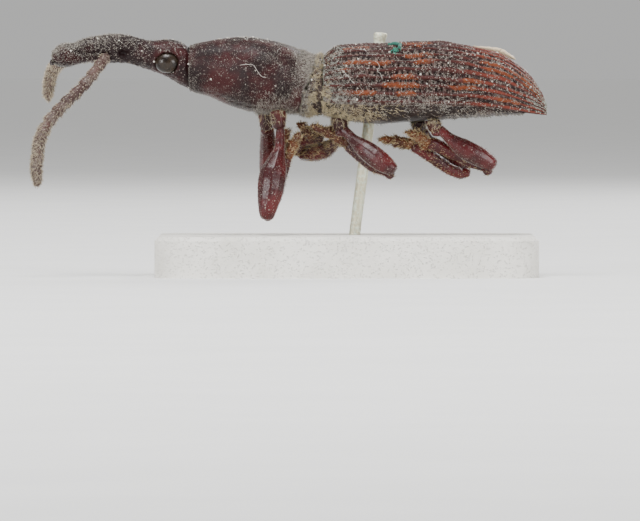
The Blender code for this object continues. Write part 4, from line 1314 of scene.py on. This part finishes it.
def dress_legs():
    """Dust and fuzz on thighs, golden bristles on shins and feet, down on the leg roots."""
    def upper_clumps(spot, out):
        return (0.10 + 0.9 * raised(spot) ** 2) * clumped(spot, 0.13) ** 1.5

    def inner_clumps(spot, out):
        return (0.15 + raised(spot)) * (out[:, 1] < 0.3) * clumped(spot, 0.16)

    for leg in LEGS:
        coxa, femur, tibia, tarsus = (legs[f"{part[0]}_{leg}"] for part in LEG_PARTS)
        towards = (-1.0 if leg.startswith("hind") else 0.4, 0, 0.2)
        pile(f"tibia_bristles_{leg}", tibia, 380, None, towards, 0.55, 0.35, (0.05, 0.12), 0.017, 0.3,
             FOOT_HAIR)
        pile(f"tarsus_bristles_{leg}", tarsus, 340, None, towards, 0.55, 0.35, (0.07, 0.19), 0.022, 0.3,
             FOOT_HAIR)
        dusting(f"femur_dust_{leg}", femur, 1000, thigh_dust(f"femur_{leg}"), 0.018, DUST)
        pile(f"femur_fuzz_{leg}", femur, 750, None, (0, 0, -0.7), 1.0, 0.5, (0.02, 0.055), 0.009, 0.2,
             GREY_HAIR)
        pile(f"coxa_down_{leg}", coxa, 300, upper_clumps, (0.2, 0, -1), 0.6, 0.5, (0.05, 0.20), 0.015, 0.4,
             GOLD_HAIR)
    pile("femur_brush_mid_R", legs["femur_mid_R"], 800, inner_clumps, (-1, 0, 0.3), 0.4, 0.35,
         (0.06, 0.18), 0.020, 0.4, FOOT_HAIR)


def feeler_wear(tip, length):
    """A weight that grows from the snout to a feeler's club."""
    def wanted(spot, out):
        run = 1 - np.linalg.norm(spot - tip, axis=1) / length
        return 0.24 + 0.25 * step(run, 0.35, 0.2) + 0.8 * step(run, 0.60, 0.15)

    return wanted


def dress_feelers():
    """Pale bristles and dust, sparse near the snout and dense on the clubs."""
    for letter, (skin, root, tip, length) in feelers.items():
        wanted = feeler_wear(tip, length)
        pile(f"feeler_bristles_{letter}", skin, 2300, wanted, tip - root, 5.0, 0.25, (0.06, 0.15),
             0.016, 0.15, PALE_HAIR)
        dusting(f"feeler_dust_{letter}", skin, 700, wanted, 0.021, DUST)


def dress_crumbs():
    """A few larger pale crumbs of dirt, scattered over the whole back."""
    for name, skin, count in (
        ("pronotum", pronotum, 45), ("collar", collar, 90), ("case_L", wings["L"], 200),
        ("case_R", wings["R"], 200), ("trunk", trunk, 120), ("head", head, 60),
    ):
        spot, out = spots_on(skin, count, upward(0.6))
        clear = (np.abs(spot[:, 1]) > 0.12) | (spot[:, 0] < 10)
        made = grains(f"crumbs_{name}", spot[clear], out[clear], CRUMB_SIZE, CRUMB, CRUMB_LIMITS)
        kept_on(skin, made)


def dress_strays():
    """The longest fibres, each laid where the side view shows it."""
    for number, (name, line) in enumerate(STRAY_FIBRES):
        skin = pronotum if name == "pronotum" else wings["L"]
        tree = surface_of(skin)
        path = []
        for x, z in through(line, 6):
            near = Vector((x, -2.0, z))
            for _ in range(3):
                near, out, _, _ = tree.find_nearest(Vector((x, near.y, z)))
            path.append(near + out * STRAY_LIFT)
        path = np.array([tuple(point) for point in path])
        thread = tube(f"{name}_stray_{number}", path, np.full(len(path), STRAY_RADIUS), 6, FIBRE)
        kept_on(skin, thread)


make_camera()
make_studio()
head = make_head()
make_eyes()
make_jaws()
pronotum, collar, trunk = make_body()
wings = {letter: make_wing_case(letter, side) for letter, side in (("L", LEFT), ("R", RIGHT))}
make_flake()
legs = make_legs()
feelers = make_feelers()
make_stand()
dress_head()
dress_pronotum()
dress_collar()
dress_trunk()
dress_wings()
dress_legs()
dress_feelers()
dress_crumbs()
dress_strays()
